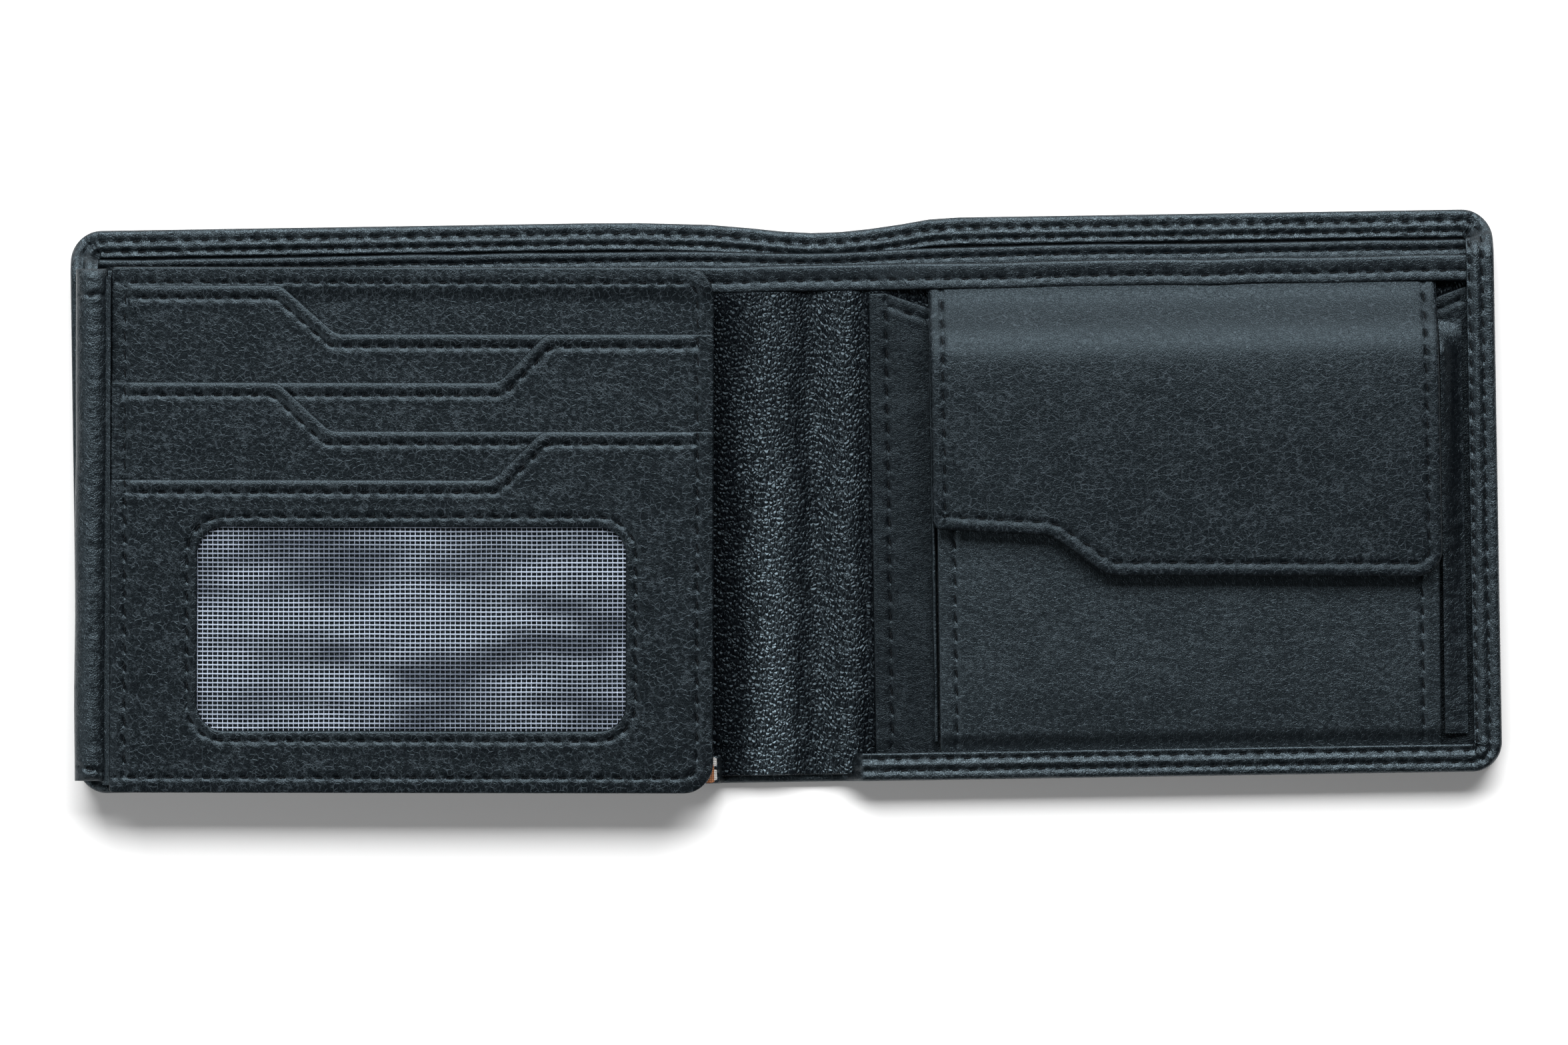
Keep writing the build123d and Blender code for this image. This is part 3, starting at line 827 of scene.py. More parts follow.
def rim_shape(x, y):
    """(height, lip width) of the shell's turned edge at points of its outline."""
    on_top = y > TOP - 0.6
    rise_right = ramp(TOP - y, 0.2, 8.2)
    rise_left = ramp(TOP - y, 0.5, 7.5)
    height = np.where(x > 0, 1.9 + 4.1 * rise_right, 1.9 + 3.4 * rise_left)
    width = np.where(x > 0, HEM_W + 0.5 * ramp(TOP - y, 4.0, 8.0), HEM_W)
    narrow = ramp(TOP - y, 7.6, 9.2) * (x < 0) * ramp(y, BOTTOM + 4, BOTTOM + 5.5)
    width = width * (1 - narrow) + 1.25 * narrow
    floor = y < BOTTOM + 0.6
    gap = ramp(x, -11.9, -11.3) * (1 - ramp(x, 9.2, 12.4))
    bottom_height = 6.0 - 4.3 * gap
    left_low = 1 - ramp(x, -END, -END + 5)
    height = np.where(floor, bottom_height - 0.7 * left_low, height)
    width = np.where(floor, BOTTOM_W - 2.4 * gap, width)
    height = np.where(on_top, 1.9, height)
    width = np.where(on_top, HEM_W, width)
    at_corner = np.minimum(np.abs(np.abs(x) - END), CORNER_R)
    at_corner = at_corner + np.minimum(np.minimum(TOP - y, y - BOTTOM), CORNER_R)
    width = np.minimum(width, HEM_W + 2.0 * ramp(at_corner, CORNER_R, 7.0))
    return height, width


def hem_rows(x, y):
    """How far in from the outline the two rows of stitches on the turned edge are."""
    side = ramp(TOP - y, 0.5, 6.0)
    foot = ramp(BOTTOM + 6.0 - y, 0.0, 5.0)
    outer = 1.85 + 0.15 * side - 0.35 * foot
    inner = 3.65 + 0.5 * side - 0.5 * foot
    return outer, inner


def rim_relief(s, n, x, y):
    """Stitch rows, ribs and creases of the turned edge, in its own coordinates."""
    outer, inner = hem_rows(x, y)
    hem = ramp(y, TOP - 6, TOP - 4)
    ribs = 0.03 + 0.03 * hem
    change = seam(s, n - outer, RIM_PITCH, ribs) + seam(s + STAGGER, n - inner, RIM_PITCH, ribs)
    change += 0.08 * bell(n - 0.5 * (outer + inner), 0.6)
    crumple = noise(s, n * 1.2, 1.1, 11) * (0.06 + 0.07 * hem)
    crumple += noise(s * 1.3, n * 0.5, 0.62, 14) * 0.05 * hem
    crumple += noise(s, n, 4.5, 12) * 0.08
    corner_x = np.abs(np.abs(x) - END)
    corner_y = np.minimum(np.abs(TOP - y), np.abs(y - BOTTOM))
    mitre = bell(np.hypot(corner_x, corner_y), 5.5)
    crumple += mitre * 0.3 * noise(s * 1.6, n, 1.1, 13)
    return change + crumple


def rim_section(height, width):
    """The turned edge in section: (inward, up) from the floor's underside round to it."""
    lip = np.concatenate([[1.2, 1.5], np.linspace(1.8, width - 0.35, 13)])
    under = height - (LIP_T if height > 2.7 else LIP_T + (0.15 if height > 1.8 else -0.4))
    under = max(under, 1.06)
    wall = min(1.0, width - 0.3)
    rise = max(height, 1.3)
    points = [(1.6, 0.0), (0.75, 0.03), (0.3, 0.2), (0.06, 0.5), (0.0, 0.8)]
    points += [(0.0, 0.5 * (0.8 + rise - 0.55)), (0.0, rise - 0.55), (0.1, rise - 0.3)]
    points += [(0.32, rise - 0.1), (0.75, rise)]
    points += [(n, height) for n in lip]
    points += [(width - 0.12, height - 0.06), (width, height - 0.22), (width, under + 0.12)]
    points += [(width - 0.1, under), (wall + 0.15, under)]
    points += [(wall, under - 0.05 if under > 1.2 else under - 0.01), (wall, 1.05)]
    return points + [(wall + 0.12, 1.0)]


def shell():
    """The outer leather: a flat panel whose edges are turned up and over."""
    count = len(perimeter.xy)
    x, y = perimeter.xy.T
    height, width = rim_shape(x, y)
    sections = np.array([rim_section(h, w) for h, w in zip(height, width)])
    inner = np.full((count, 1, 2), (FLOOR_RING, 0.0))
    floor = np.full((count, 1, 2), (FLOOR_RING, 1.0))
    sections = np.concatenate([inner, sections, floor], 1)
    size = sections.shape[1]
    n = sections[..., 0]
    flat = perimeter.xy[:, None, :] + perimeter.left[:, None, :] * n[..., None]
    s = np.repeat(perimeter.s[:, None], size, 1)
    far_x = np.repeat(x[:, None], size, 1)
    far_y = np.repeat(y[:, None], size, 1)
    lip = np.zeros((count, size))
    lip[:, LIP_POINTS] = 1
    lip[:, LIP_POINTS.start - 1] = 0.6
    relief = rim_relief(s.ravel(), n.ravel(), far_x.ravel(), far_y.ravel())
    z = sections[..., 1] + relief.reshape(s.shape) * lip
    made = Shape()
    here = np.arange(count * size).reshape(count, size)
    ahead = np.roll(here, -1, 0)
    walls = np.stack([here[:, :-1], here[:, 1:], ahead[:, 1:], ahead[:, :-1]], -1)
    points = np.concatenate([flat, z[..., None]], -1).reshape(-1, 3)
    made.add(points, walls.reshape(-1, 4)[:, ::-1])
    for ring, sign in ((here[:, 0], -1), (here[:, -1], 1)):
        fill_ring(made, ring, sign)
    trim(made)
    return made.warp(sag(1.0))


def fill_ring(shape, ring, sign):
    """Closes a flat ring of the shell with a panel that can bend at the folds."""
    edge = shape.points[ring]
    loop = Line(edge[:, :2], closed=True, step=0.4)
    low, high = edge[:, :2].min(0), edge[:, :2].max(0)
    inside = scatter(low, high, 1.2, 4.0, near_folds, 3)
    inside = inside[loop.project(inside)[1] > 0.8]
    inside = inside[np.abs(inside[:, 0] - SPLIT_X) > 0.5]
    ends = sorted(np.where(np.abs(edge[:, 0] - SPLIT_X) < 1e-6)[0], key=lambda i: edge[i, 1])
    column = np.arange(edge[ends[0], 1] + 1, edge[ends[1], 1] - 1, 1.2)
    column = np.stack([np.full(len(column), SPLIT_X), column], 1)
    count = len(edge)
    chain = [ends[0], *range(count, count + len(column)), ends[1]]
    edges = [(i, (i + 1) % count) for i in range(count)] + list(zip(chain[:-1], chain[1:]))
    flat = np.vstack([edge[:, :2], column, inside])
    xy, triangles, origins = triangulate(flat, edges)
    start = len(shape.points)
    old = [origin[0] if origin else count for origin in origins]
    number = np.array([ring[i] if i < count else start + new for new, i in enumerate(old)])
    # Straight runs of the outline leave slivers as long as the wallet
    reach = np.ptp(xy[triangles], axis=1).max(1)
    triangles = number[triangles[reach < 12]]
    points = np.column_stack([xy, np.full(len(xy), edge[0, 2])])
    shape.points = np.vstack([shape.points, points])
    shape.faces.append(triangles if sign > 0 else triangles[:, ::-1])


def perimeter_at(x, y):
    """Distance along the outline of the point nearest to a place."""
    return float(perimeter.s[np.argmin(np.hypot(*(perimeter.xy - (x, y)).T))])


def rim_run(shape, start, end, which):
    """One row of stitches, the outer or the inner, between two places on the turned edge."""
    shift = -STAGGER * which
    first = math.ceil((start - shift) / RIM_PITCH) * RIM_PITCH + shift

    def at(s):
        point, left = perimeter.at(s + first)
        depth = hem_rows(point[..., 0], point[..., 1])[which]
        return point + left * depth[..., None], left

    def height(x, y):
        s, n = perimeter.project(np.stack([x, y], -1))
        edge, _ = perimeter.at(s)
        rise = rim_shape(edge[:, 0], edge[:, 1])[0]
        return rise + rim_relief(s, n, edge[:, 0], edge[:, 1])

    threads(shape, at, end - first, RIM_PITCH, height)


def rim_stitches():
    """The two rows of thread along the turned edge, from the spine's foot to the top left."""
    made = Shape()
    for which in (0, 1):
        rim_run(made, perimeter_at(11.9, BOTTOM), perimeter_at(-END + 3, TOP), which)
    return made.warp(sag(1.0))


def outside_stitches():
    """The row of thread that shows along the edge of the wallet's outside."""
    made = Shape()

    def at(s):
        point, left = perimeter.at(s)
        return point + left * 2.0, left

    threads(made, at, perimeter.length, RIM_PITCH, level(0), radius=0.1)
    made.points[:, 2] = 0.11 - made.points[:, 2]
    made.faces = [block[:, ::-1] for block in made.faces]
    return made.warp(sag(1.0))


bend("outer_leather", shell(), SHELL, ["shell_right", "shell_spine", "shell_left"])
bend("rim_stitches", rim_stitches(), THREAD, solid=False)
bend("outside_stitches", outside_stitches(), THREAD, solid=False)

# ---- layers that cross the folds ----

INNER_X = (span("divider_left")[0][0], span("divider_right")[0][1])
INNER_Y = span("divider_spine")[1][0]
# Corner radius of the layers at the wallet's bottom corners
FOOT_R = 3.8
DIVIDER_TOP = span("divider_binding_spine")[1][1]
FRONT_TOP = span("front_binding_spine")[1][1]


def layer_outline(top):
    """A layer inside the shell's rim, with rounded lower corners."""
    return oblong(INNER_X, (INNER_Y, top), [FOOT_R, FOOT_R, 0.3, 0.3])


def three_nodes(node):
    """The names of the CAD nodes that make up a layer."""
    return [f"{node}_{side}" for side in ("right", "spine", "left")]


def lining_sheet(name, node, top, share):
    """A plain woven layer of cloth, in two pieces."""
    low, high = span(f"{node}_spine")[2]
    sizes = (1.2, 5.0, near_folds, 0.08, 0.04, SPLIT_X)
    made = panel([layer_outline(top)], level(high), level(low), *sizes)
    pieces = bend(name, made.warp(sag(share)), LINING, three_nodes(node))


lining_sheet("shell_lining_cloth", "shell_lining", span("shell_lining_spine")[1][1], 0.3)
lining_sheet("divider_cloth", "divider", DIVIDER_TOP - 4.1, 0.3)


def bound_edge(name, node, top, height, crown, row_depth, share, seed):
    """A folded binding with its row of stitches and slight waves along its length."""
    rows = [Row([(INNER_X[0] + 1, top - row_depth), (INNER_X[1] - 1, top - row_depth)])]
    low = span(f"{node}_spine")[2][0]
    sink = sag(share)

    def face(x, y):
        bulge = bell(y - (top - 0.8), 0.8) * 0.17
        waves = 0.05 * noise(x, y, 6.0, seed) + 0.03 * noise(x, y, 1.6, seed + 1)
        return crown(x) + bulge + waves

    def change(x, y, z):
        x, y, z = sink(x, y, z)
        return x, y + 0.12 * noise(x, 0 * x, 9.0, seed + 2), z

    top_face = sewn(face, rows)
    outline = oblong(INNER_X, (top - height, top), 0.4)
    made = panel([outline], top_face, level(low), 0.45, edge=0.4, cut=SPLIT_X, rows=rows)
    bend(name, made.warp(change), BINDING, three_nodes(node))
    sewing = stitching(rows, top_face).warp(change)
    bend(f"{name}_stitches", sewing, THREAD, solid=False)


def divider_crown(x):
    """Height of the divider's binding."""
    return 2.35 + 0 * x


def front_crown(x):
    """Height of the inside panel's binding, which climbs over the right half's pockets."""
    return 3.4 + 1.7 * ramp(x, 14.5, 25.0)


for name, *values in (
    ("divider_binding", DIVIDER_TOP, 4.0, divider_crown, 1.65, 0.32, 21),
    ("front_binding", FRONT_TOP, 4.5, front_crown, 2.7, 0.0, 31),
):
    bound_edge(f"{name}_leather", name, *values)


def spine_shown(x, y):
    """The part of the inside panel that shows between the pockets."""
    return (x > -14.5) & (x < 15.5)


def spine_face(x, y):
    """The inside panel: a pebbled grain over the soft bulge and valley of the folds."""
    waver = 0.8 * noise(x, y, 22.0, 41)
    bulge = 0.45 * bell(x + 3.6 - waver, 3.4)
    valley = -0.75 * bell(x - 4.6 - waver, 2.4)
    ridge = 0.35 * bell(x - 9.8 - waver, 2.2)
    valley += ridge - 0.5 * bell(x - 13.6, 1.2)
    crease = -0.22 * bell(x - 2.0 - 0.4 * waver, 0.7) * ramp(-y, 20, 32)
    fold = -0.2 * bell(y + 40.9, 0.35) * ramp(-x, -1, 3)
    soft = 0.1 * noise(x, y, 5.0, 42) + 0.07 * noise(x, y, 2.4, 43)
    near = ramp(x, -15, -12) * (1 - ramp(x, 14.5, 16))
    shape = bulge + valley + crease + fold + soft
    wx = x + 0.2 * noise(x, y, 2.0, 44)
    wy = y * 0.8 + 0.2 * noise(x, y, 2.0, 45)
    pebble = 0.05 * smooth(cell_edges(wx * 1.25, wy, 1.15, 46) / 0.4) - 0.03
    return np.maximum(3.15 + near * (shape + pebble), 2.4)


sizes = (0.27, 2.5, spine_shown, 0.15, 0.08, SPLIT_X)
spine_panel = panel([layer_outline(FRONT_TOP - 4.4)], spine_face, level(2.15), *sizes)
spine_nodes = ["front_panel_right", "spine_leather", "front_panel_left"]
bend("inside_panel", spine_panel, PEBBLED, spine_nodes)

# ---- right half: slip pocket ----

slip_x, slip_y, slip_z = span("slip_pocket")
coin_x = span("coin_pocket_front")[0]
# The slip pocket's mouth, left to right: (x, how far below the wallet's top)
MOUTH = [(slip_x[0], 12.7), (slip_x[0] + 3.0, 12.7), (24.2, 15.1), (30.6, 17.5)]
MOUTH += [(104.2, 17.5), (110.9, 14.6), (115.0, 13.1), (slip_x[1], 13.1)]


def slip_shown(x, y):
    """The parts of the slip pocket beside the coin pocket."""
    return (x < 26.5) | (x > 108.5)


def slip_face(x, y):
    """The slip pocket's front, a little quilted beside its stitches."""
    soft = 0.07 * noise(x, y, 7.0, 51) + 0.05 * noise(x * 0.6, y, 2.6, 52)
    return slip_z[1] - 0.1 + soft + 0.1 * bell(x - 20.6, 1.8)


def slip_pocket():
    """The large pocket behind the coin pocket."""
    rows = [
        Row([(17.4, TOP - 13.6), (17.4, BOTTOM + 5.5)]),
        Row([(17.9, TOP - 15.0), (24.6, TOP - 17.4)]),
        Row([(110.5, TOP - 17.0), (114.6, TOP - 15.4)]),
    ]
    corners = [(slip_x[0], slip_y[0]), (slip_x[1], slip_y[0])]
    corners += [(x, TOP - depth) for x, depth in MOUTH[::-1]]
    outline = rounded(corners, [0.3, FOOT_R, 0.3, *[1.5] * 6, 0.3])
    face = sewn(slip_face, rows)
    sizes = (0.45, 3.0, slip_shown, 0.3, 0.1)
    made = panel([outline], face, level(slip_z[0]), *sizes, rows=rows)
    ride("slip_pocket_leather", made, SHADED_SLIP, "right_half", ["slip_pocket"])
    ride("slip_pocket_stitches", stitching(rows, face), THREAD, "right_half")


slip_pocket()

# ---- coin pocket ----

# The coin pocket's front is sewn down at its foot and leans up towards its mouth
COIN_FOOT = BOTTOM + 5.9
COIN_TILT = math.tan(math.radians(2.75))
COIN_MOUTH = span("coin_pocket_back")[1][1]
BACK_Z = span("coin_pocket_back")[2]


def coin_plane(y):
    """Height of the underside of the coin pocket's front."""
    return 4.9 + (y - COIN_FOOT) * COIN_TILT


def coin_tuck(y):
    """How far the pocket's front is drawn into its foot seam: 1 at the seam."""
    return 1 - ramp(y, COIN_FOOT - 0.9, COIN_FOOT + 1.8)


def coin_back_face(x, y):
    """The coin pocket's back lining, seen when the pocket is open."""
    return BACK_Z[1] - 0.03 + 0.02 * noise(x, y, 5, 60)


def coin_face(x, y):
    """The coin pocket's front: gently full in the middle and tucked in at its foot."""
    middle = (coin_x[0] + coin_x[1]) / 2
    across = np.clip(1 - ((x - middle) / 42.0) ** 4, 0, 1)
    full = 0.35 * across * ramp(y, COIN_FOOT, COIN_FOOT + 10)
    soft = 0.06 * noise(x, y, 11.0, 61) + 0.025 * noise(x, y, 3.0, 62)
    return coin_plane(y) + 0.72 + full + soft + -0.75 * coin_tuck(y)


def coin_under(x, y):
    """The inner face of the coin pocket's front leather."""
    return coin_plane(y) + 0.02 + -0.45 * coin_tuck(y)


def hinged(name, shape, look, body, start, end):
    """An object made from a shape, with its placement baked in."""
    made = to_object(name, shape, look)
    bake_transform(made)
    return made


def coin_back():
    """The lining that closes the coin pocket behind."""
    outline = oblong(coin_x, (INNER_Y, COIN_MOUTH), 0.3)
    made = panel([outline], coin_back_face, level(BACK_Z[0]), 2.0, edge=0.1, under_edge=0.05)
    nodes = ["coin_pocket_back"]
    piece = ride("coin_pocket_back_lining", made, LINING, "right_half", nodes)


def coin_front():
    """The pocket's front leather, its two rows of stitches and its lining."""
    rows = [Row([(x, COIN_FOOT - 0.4), (x, COIN_MOUTH - 1)]) for x in (28.3, 106.9)]
    face = sewn(coin_face, rows)
    outline = oblong(coin_x, (COIN_FOOT - 2.2, COIN_MOUTH), 0.4)
    sizes = (0.5, 2.0, lambda x, y: y < -2, 0.3, 0.1)
    made = panel([outline], face, coin_under, *sizes, rows=rows)
    ends = (COIN_FOOT - 1.2, COIN_FOOT + 1.8)
    leather_piece = hinged("coin_pocket_front_leather", made, GRAINED, "coin_front", *ends)
    finish_piece(leather_piece, ["coin_pocket_front"])
    ride("coin_front_stitches", stitching(rows, face), THREAD, "coin_front")
    inside = oblong((coin_x[0] + 0.3, coin_x[1] - 0.3), (COIN_FOOT + 2, COIN_MOUTH - 0.4), 0.3)
    upper, under = [lambda x, y, gap=gap: coin_plane(y) - gap for gap in (0.06, 0.28)]
    made = panel([inside], upper, under, 2.0, edge=0.08, under_edge=0.04)
    nodes = ["coin_front_lining"]
    piece = ride("coin_front_lining_cloth", made, LINING, "coin_front", nodes)


def gusset_left():
    """The thin leather leaf that closes the pocket's left side."""
    x, y, z = span("coin_gusset_left")
    rings = []
    for at in np.arange(y[0], y[1] + 0.01, 0.6):
        top = coin_plane(at) - 0.05
        lean = 0.1 * float(noise(at, 0.0, 3.0, 63))
        outer = [(x[0], at, z[0]), (x[1], at, z[0]), (x[1] + lean * 0.3, at, top - 0.15)]
        inner = [(x[1] - 0.15, at, top), (x[0] + 0.15, at, top), (x[0] + lean, at, top - 0.15)]
        rings.append(outer + inner)
    made = Shape()
    loft(made, np.array(rings)[:, ::-1])
    return made


def gusset_right():
    """The folded gusset: two wrinkled leaves that meet at an outer fold."""
    x, y, z = span("coin_gusset_right")
    t = np.linspace(0, 1, 13)
    rings = []
    for at in np.arange(y[0], y[1] + 5.0, 0.3):
        here = np.full(13, at)
        share = (at - y[0]) / (y[1] - y[0])
        lift = 1.25 + (3.7 - 1.25) * share
        lift = 0.75 + (lift - 0.75) * (1 - ramp(at, y[1] - 1.0, y[1] + 4.8))
        wrinkle = noise(t * 4, here, 1.7, 64) * 0.14
        wrinkle += noise(t * 2, here, 0.7, 65) * 0.05
        across = x[0] + (x[1] - x[0]) * t
        fall = z[0] + lift + (0.65 - lift) * smooth(t * 0.9)
        upper = fall + wrinkle * np.sin(np.pi * np.clip(t * 0.95, 0, 1))
        lower = np.maximum(upper - 0.5, z[0] + 0.02)
        top_side = np.stack([across, here, upper], 1)
        rings.append(np.vstack([top_side, np.stack([across, here, lower], 1)[::-1]]))
    made = Shape()
    loft(made, rings)
    return made


coin_back()
coin_front()
for side, make, look in (("left", gusset_left, GRAINED), ("right", gusset_right, BINDING)):
    node = f"coin_gusset_{side}"
    ride(f"{node}_leather", make(), look, "right_half", [node])

# ---- coin flap ----

flap_x, _, flap_z = span("coin_flap")
ROOT_TOP = span("coin_flap_root")[1][1]
# The flap's hinge, the stretch of leather that bends there, and its two lower edges
HINGE_Y = TOP - 14.5
HINGE_SPAN = (HINGE_Y + 1.6, HINGE_Y - 1.6)
SHORT_Y = TOP - 53.5
LONG_Y = TOP - 61.6
# The flap in side view, foot to root: (y, height against its highest part)
FLAP_SIDE = [(-40, -0.55), (-13, -0.3), (-4, -0.06), (8, 0.1), (16, 0.04), (20, -0.08)]
FLAP_SIDE += [(23, -0.25), (25, -0.5), (27, -1.1), (29, -2.1), (31, -3.4), (32.5, -4.35)]
FLAP_SIDE += [(33.8, -5.1), (35.2, -5.65), (37, -5.95), (41, -6.1)]


def flap_rise(y):
    """The flap's side view: up from its root, over a soft crest, then nearly level."""
    fine = np.linspace(-40, 41, 325)
    rough = np.interp(fine, *zip(*FLAP_SIDE))
    kernel = np.hanning(15) / np.hanning(15).sum()
    soft = np.convolve(np.pad(rough, 7, "edge"), kernel, "valid")
    return flap_z[1] + np.interp(y, fine, soft)


def flap_face(x, y):
    """The flap's outer face, a little full between its stitched edges."""
    middle = (flap_x[0] + flap_x[1]) / 2
    edge_fall = 0.35 * np.clip(np.abs(x - middle) / 42.8, 0, 1) ** 8
    soft = 0.1 * noise(x, y, 13.0, 71) + 0.03 * noise(x, y, 3.2, 72)
    return flap_rise(y) - edge_fall + soft - 0.12


def flap_under(x, y):
    """The inner face of the flap's leather, which thins towards its root."""
    return flap_rise(y) - 1.12 + 0.35 * ramp(y, 31, 36)


def flap_row(outline):
    """The row of stitches round the flap's three free sides."""
    border = Line(outline, closed=True, step=0.5)
    path = border.xy + border.left * INSET
    keep = path[:, 1] < ROOT_TOP - 3.3
    first = int(np.argmax(np.roll(keep, 1) < keep))
    return Row(np.roll(path, -first, 0)[: int(keep.sum())], pucker=0.03, roll=-0.08)


def coin_flap():
    """The flap's leather, with its root, and its stitches."""
    left, right = flap_x
    corners = [(left, SHORT_Y + 0.7), (44.5, SHORT_Y - 0.7), (54.0, LONG_Y + 0.5)]
    corners += [(right, LONG_Y - 0.5), (right, ROOT_TOP), (left, ROOT_TOP)]
    outline = rounded(corners, [1.5, 5, 5, 4.5, 0.3, 0.3])
    rows = [flap_row(outline)]
    face = sewn(flap_face, rows)
    made = panel([outline], face, flap_under, 0.5, 2.0, edge=0.5, under_edge=0.2, rows=rows)
    piece = hinged("coin_flap_leather", made, FLAP, "coin_flap", *HINGE_SPAN)
    finish_piece(piece, ["coin_flap", "coin_flap_root"])
    hinged("coin_flap_stitches", stitching(rows, face), THREAD, "coin_flap", *HINGE_SPAN)
    return piece


def flap_lining(flap):
    """The cloth under the flap."""
    left, right = flap_x[0] + 1.0, flap_x[1] - 1.0
    corners = [(left, SHORT_Y + 1.6), (44.1, SHORT_Y + 0.3), (53.6, LONG_Y + 1.5)]
    corners += [(right, LONG_Y + 0.5), (right, HINGE_Y - 2.2), (left, HINGE_Y - 2.2)]
    outline = rounded(corners, [1.5, 5, 5, 4.0, 0.4, 0.4])
    upper, under = [lambda x, y, gap=gap: flap_rise(y) - gap for gap in (1.17, 1.42)]
    made = panel([outline], upper, under, 1.2, edge=0.08, under_edge=0.05)
    nodes = ["coin_flap_lining"]
    piece = ride("coin_flap_lining_cloth", made, LINING, "coin_flap", nodes)


flap_lining(coin_flap())

for name in ("snap_cap", "snap_socket", "snap_stud", "snap_post"):
    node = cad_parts[name]
    if not node.material_slots:
        node.data.materials.append(NICKEL)
    for material_slot in node.material_slots:
        material_slot.material = NICKEL

# ---- left half: card pockets under the wing, label ----


def inner_pocket(number):
    """A card pocket on the left half, which shows when the wing is turned over."""
    node = f"inner_card_pocket_{number}"
    x, y, z = span(node)
    rows = [Row([(x[0] + 2, y[1] - INSET), (x[1] - 2, y[1] - INSET)])]
    side = Row([(x[1] - INSET, y[0] + 6), (x[1] - INSET, y[1] - 1)])

    def face(px, py):
        return z[1] - 0.06 + 0.04 * noise(px, py, 8.0, 80 + number)

    face = sewn(face, [*rows, side] if number == 3 else rows)
    sizes = (0.7, 2.5, lambda px, py: py > y[1] - 12, 0.2, 0.08)
    made = panel([oblong(x, y, [0.3, 0.3, 1.2, 1.2])], face, level(z[0]), *sizes)
    ride(f"{node}_leather", made, POCKET, "left_half", [node])
    ride(f"{node}_stitches", stitching(rows, face), THREAD, "left_half")


def label_leaf(name, look, x, y, z, nodes):
    """One leaf of the blank label in the bottom seam."""

    def face(px, py):
        return z + 0.09 + 0.02 * noise(px, py, 1.0, 90)

    made = panel([oblong(x, y, 0.2)], face, level(z), 0.3, edge=0.03, under_edge=0.02)
    ride(name, made, look, "left_half", nodes)


for number in (1, 2, 3):
    inner_pocket(number)
for name, look, x, y, z, nodes in (
    ("label_tan_leaf", TAN, (-16.5, -12.75), (0.1, 3.2), 6.1, ["label_tab"]),
    ("label_white_leaf", WHITE, (-16.0, -12.3), (0.5, 4.4), 6.0, []),
):
    label_leaf(name, look, x, (BOTTOM + y[0], BOTTOM + y[1]), z, nodes)

# ---- wing ----

# Half the wing's width and height
WING_U = 50.7
WING_V = 44.25
PANEL_BACK_Z = span("wing_back_panel")[2]
WINDOW_Z = span("window_panel")[2]
MOUTHS = [41.2 - 8.2 * step for step in range(5)]
# Each pocket's mouth: its level at the left and at the right, and where it steps
STEPS = [
    (MOUTHS[0], MOUTHS[1], (-22.2, -12.9)),
    (MOUTHS[2], MOUTHS[1], (14.4, 22.4)),
    (MOUTHS[2], MOUTHS[3], (-22.6, -13.8)),
    (MOUTHS[4], MOUTHS[3], (13.6, 21.8)),
]
# The rows of stitches round the wing, and the lines they follow
LEFT, RIGHT, LOW, HIGH = -48.2, 48.0, -41.7, 41.6
LEFT_SIDE = Row([(LEFT, HIGH), (LEFT, LOW)])
BOTTOM_SIDE = Row(rounded([(-50.0, LOW), (RIGHT, LOW), (RIGHT, -38.0)], [0, 2.6, 0], False))
RIGHT_SIDE = Row([(RIGHT, -38.0), (RIGHT, 41.0)])
TOP_SIDE = Row(rounded([(RIGHT, 37.5), (RIGHT, HIGH), (-50.0, HIGH)], [0, 2.6, 0], False))


def pocket_path(left, right, slant):
    """A wing pocket in plan, with its mouth stepping between two levels."""
    corners = [(-WING_U, -WING_V), (WING_U, -WING_V), (WING_U, right)]
    corners += [(slant[1], right), (slant[0], left), (-WING_U, left)]
    return rounded(corners, [0.6, 5.0, 0.5, 3.0, 3.0, 0.5])


def mouth_row(left, right, slant):
    """The row of stitches below a pocket's mouth."""
    rise = right - left
    run = slant[1] - slant[0]
    lean = INSET * math.hypot(rise, run) - INSET * abs(run)
    shift = -math.copysign(lean / abs(rise), rise)
    corners = [(-WING_U + 2.6, left - INSET), (slant[0] - shift, left - INSET)]
    corners += [(slant[1] - shift, right - INSET), (WING_U - 2.9, right - INSET)]
    return Row(rounded(corners, [0, 3.0, 3.0, 0], closed=False), roll=0.13)


def wing_soft(seed, depth=0.06):
    """Gentle unevenness of a leather panel on the wing."""
    return lambda x, y: depth * noise(x, y, 9.0, seed) + 0.5 * depth * noise(x, y, 3.0, seed + 1)


def edge_fall(x, y):
    """The wing's leather turns down a little outside its border stitches."""
    out = np.maximum(np.abs(x) - 48.6, np.abs(y) - 42.2)
    return -0.12 * ramp(out, 0.0, 1.8)


def shown_band(step, below):
    """Where a pocket shows: from its mouth down to the next pocket's mouth."""
    high = max(step[:2]) + 1
    low = min(below[:2]) - 1.5
    return lambda x, y: (y < high) & (y > low)


def back_face(x, y):
    """The wing's back panel; its top strip shows above the first pocket."""
    rise = 0.55 * ramp(y, 38.5, 41.5)
    return PANEL_BACK_Z[1] + rise - 0.06 + wing_soft(100, 0.05)(x, y)


def wing_piece(name, node, outlines, base, low, rows, shown, edge, more=()):
    """A leather panel of the wing with its stitches."""
    face = sewn(base, [*rows, *more])
    made = panel(outlines, face, level(low), 0.5, 2.5, shown, edge, 0.1, rows=rows)
    ride(name, made.warp(on_wing), POCKET, "wing", [node])
    ride(f"{name}_stitches", stitching(rows, face).warp(on_wing), THREAD, "wing")


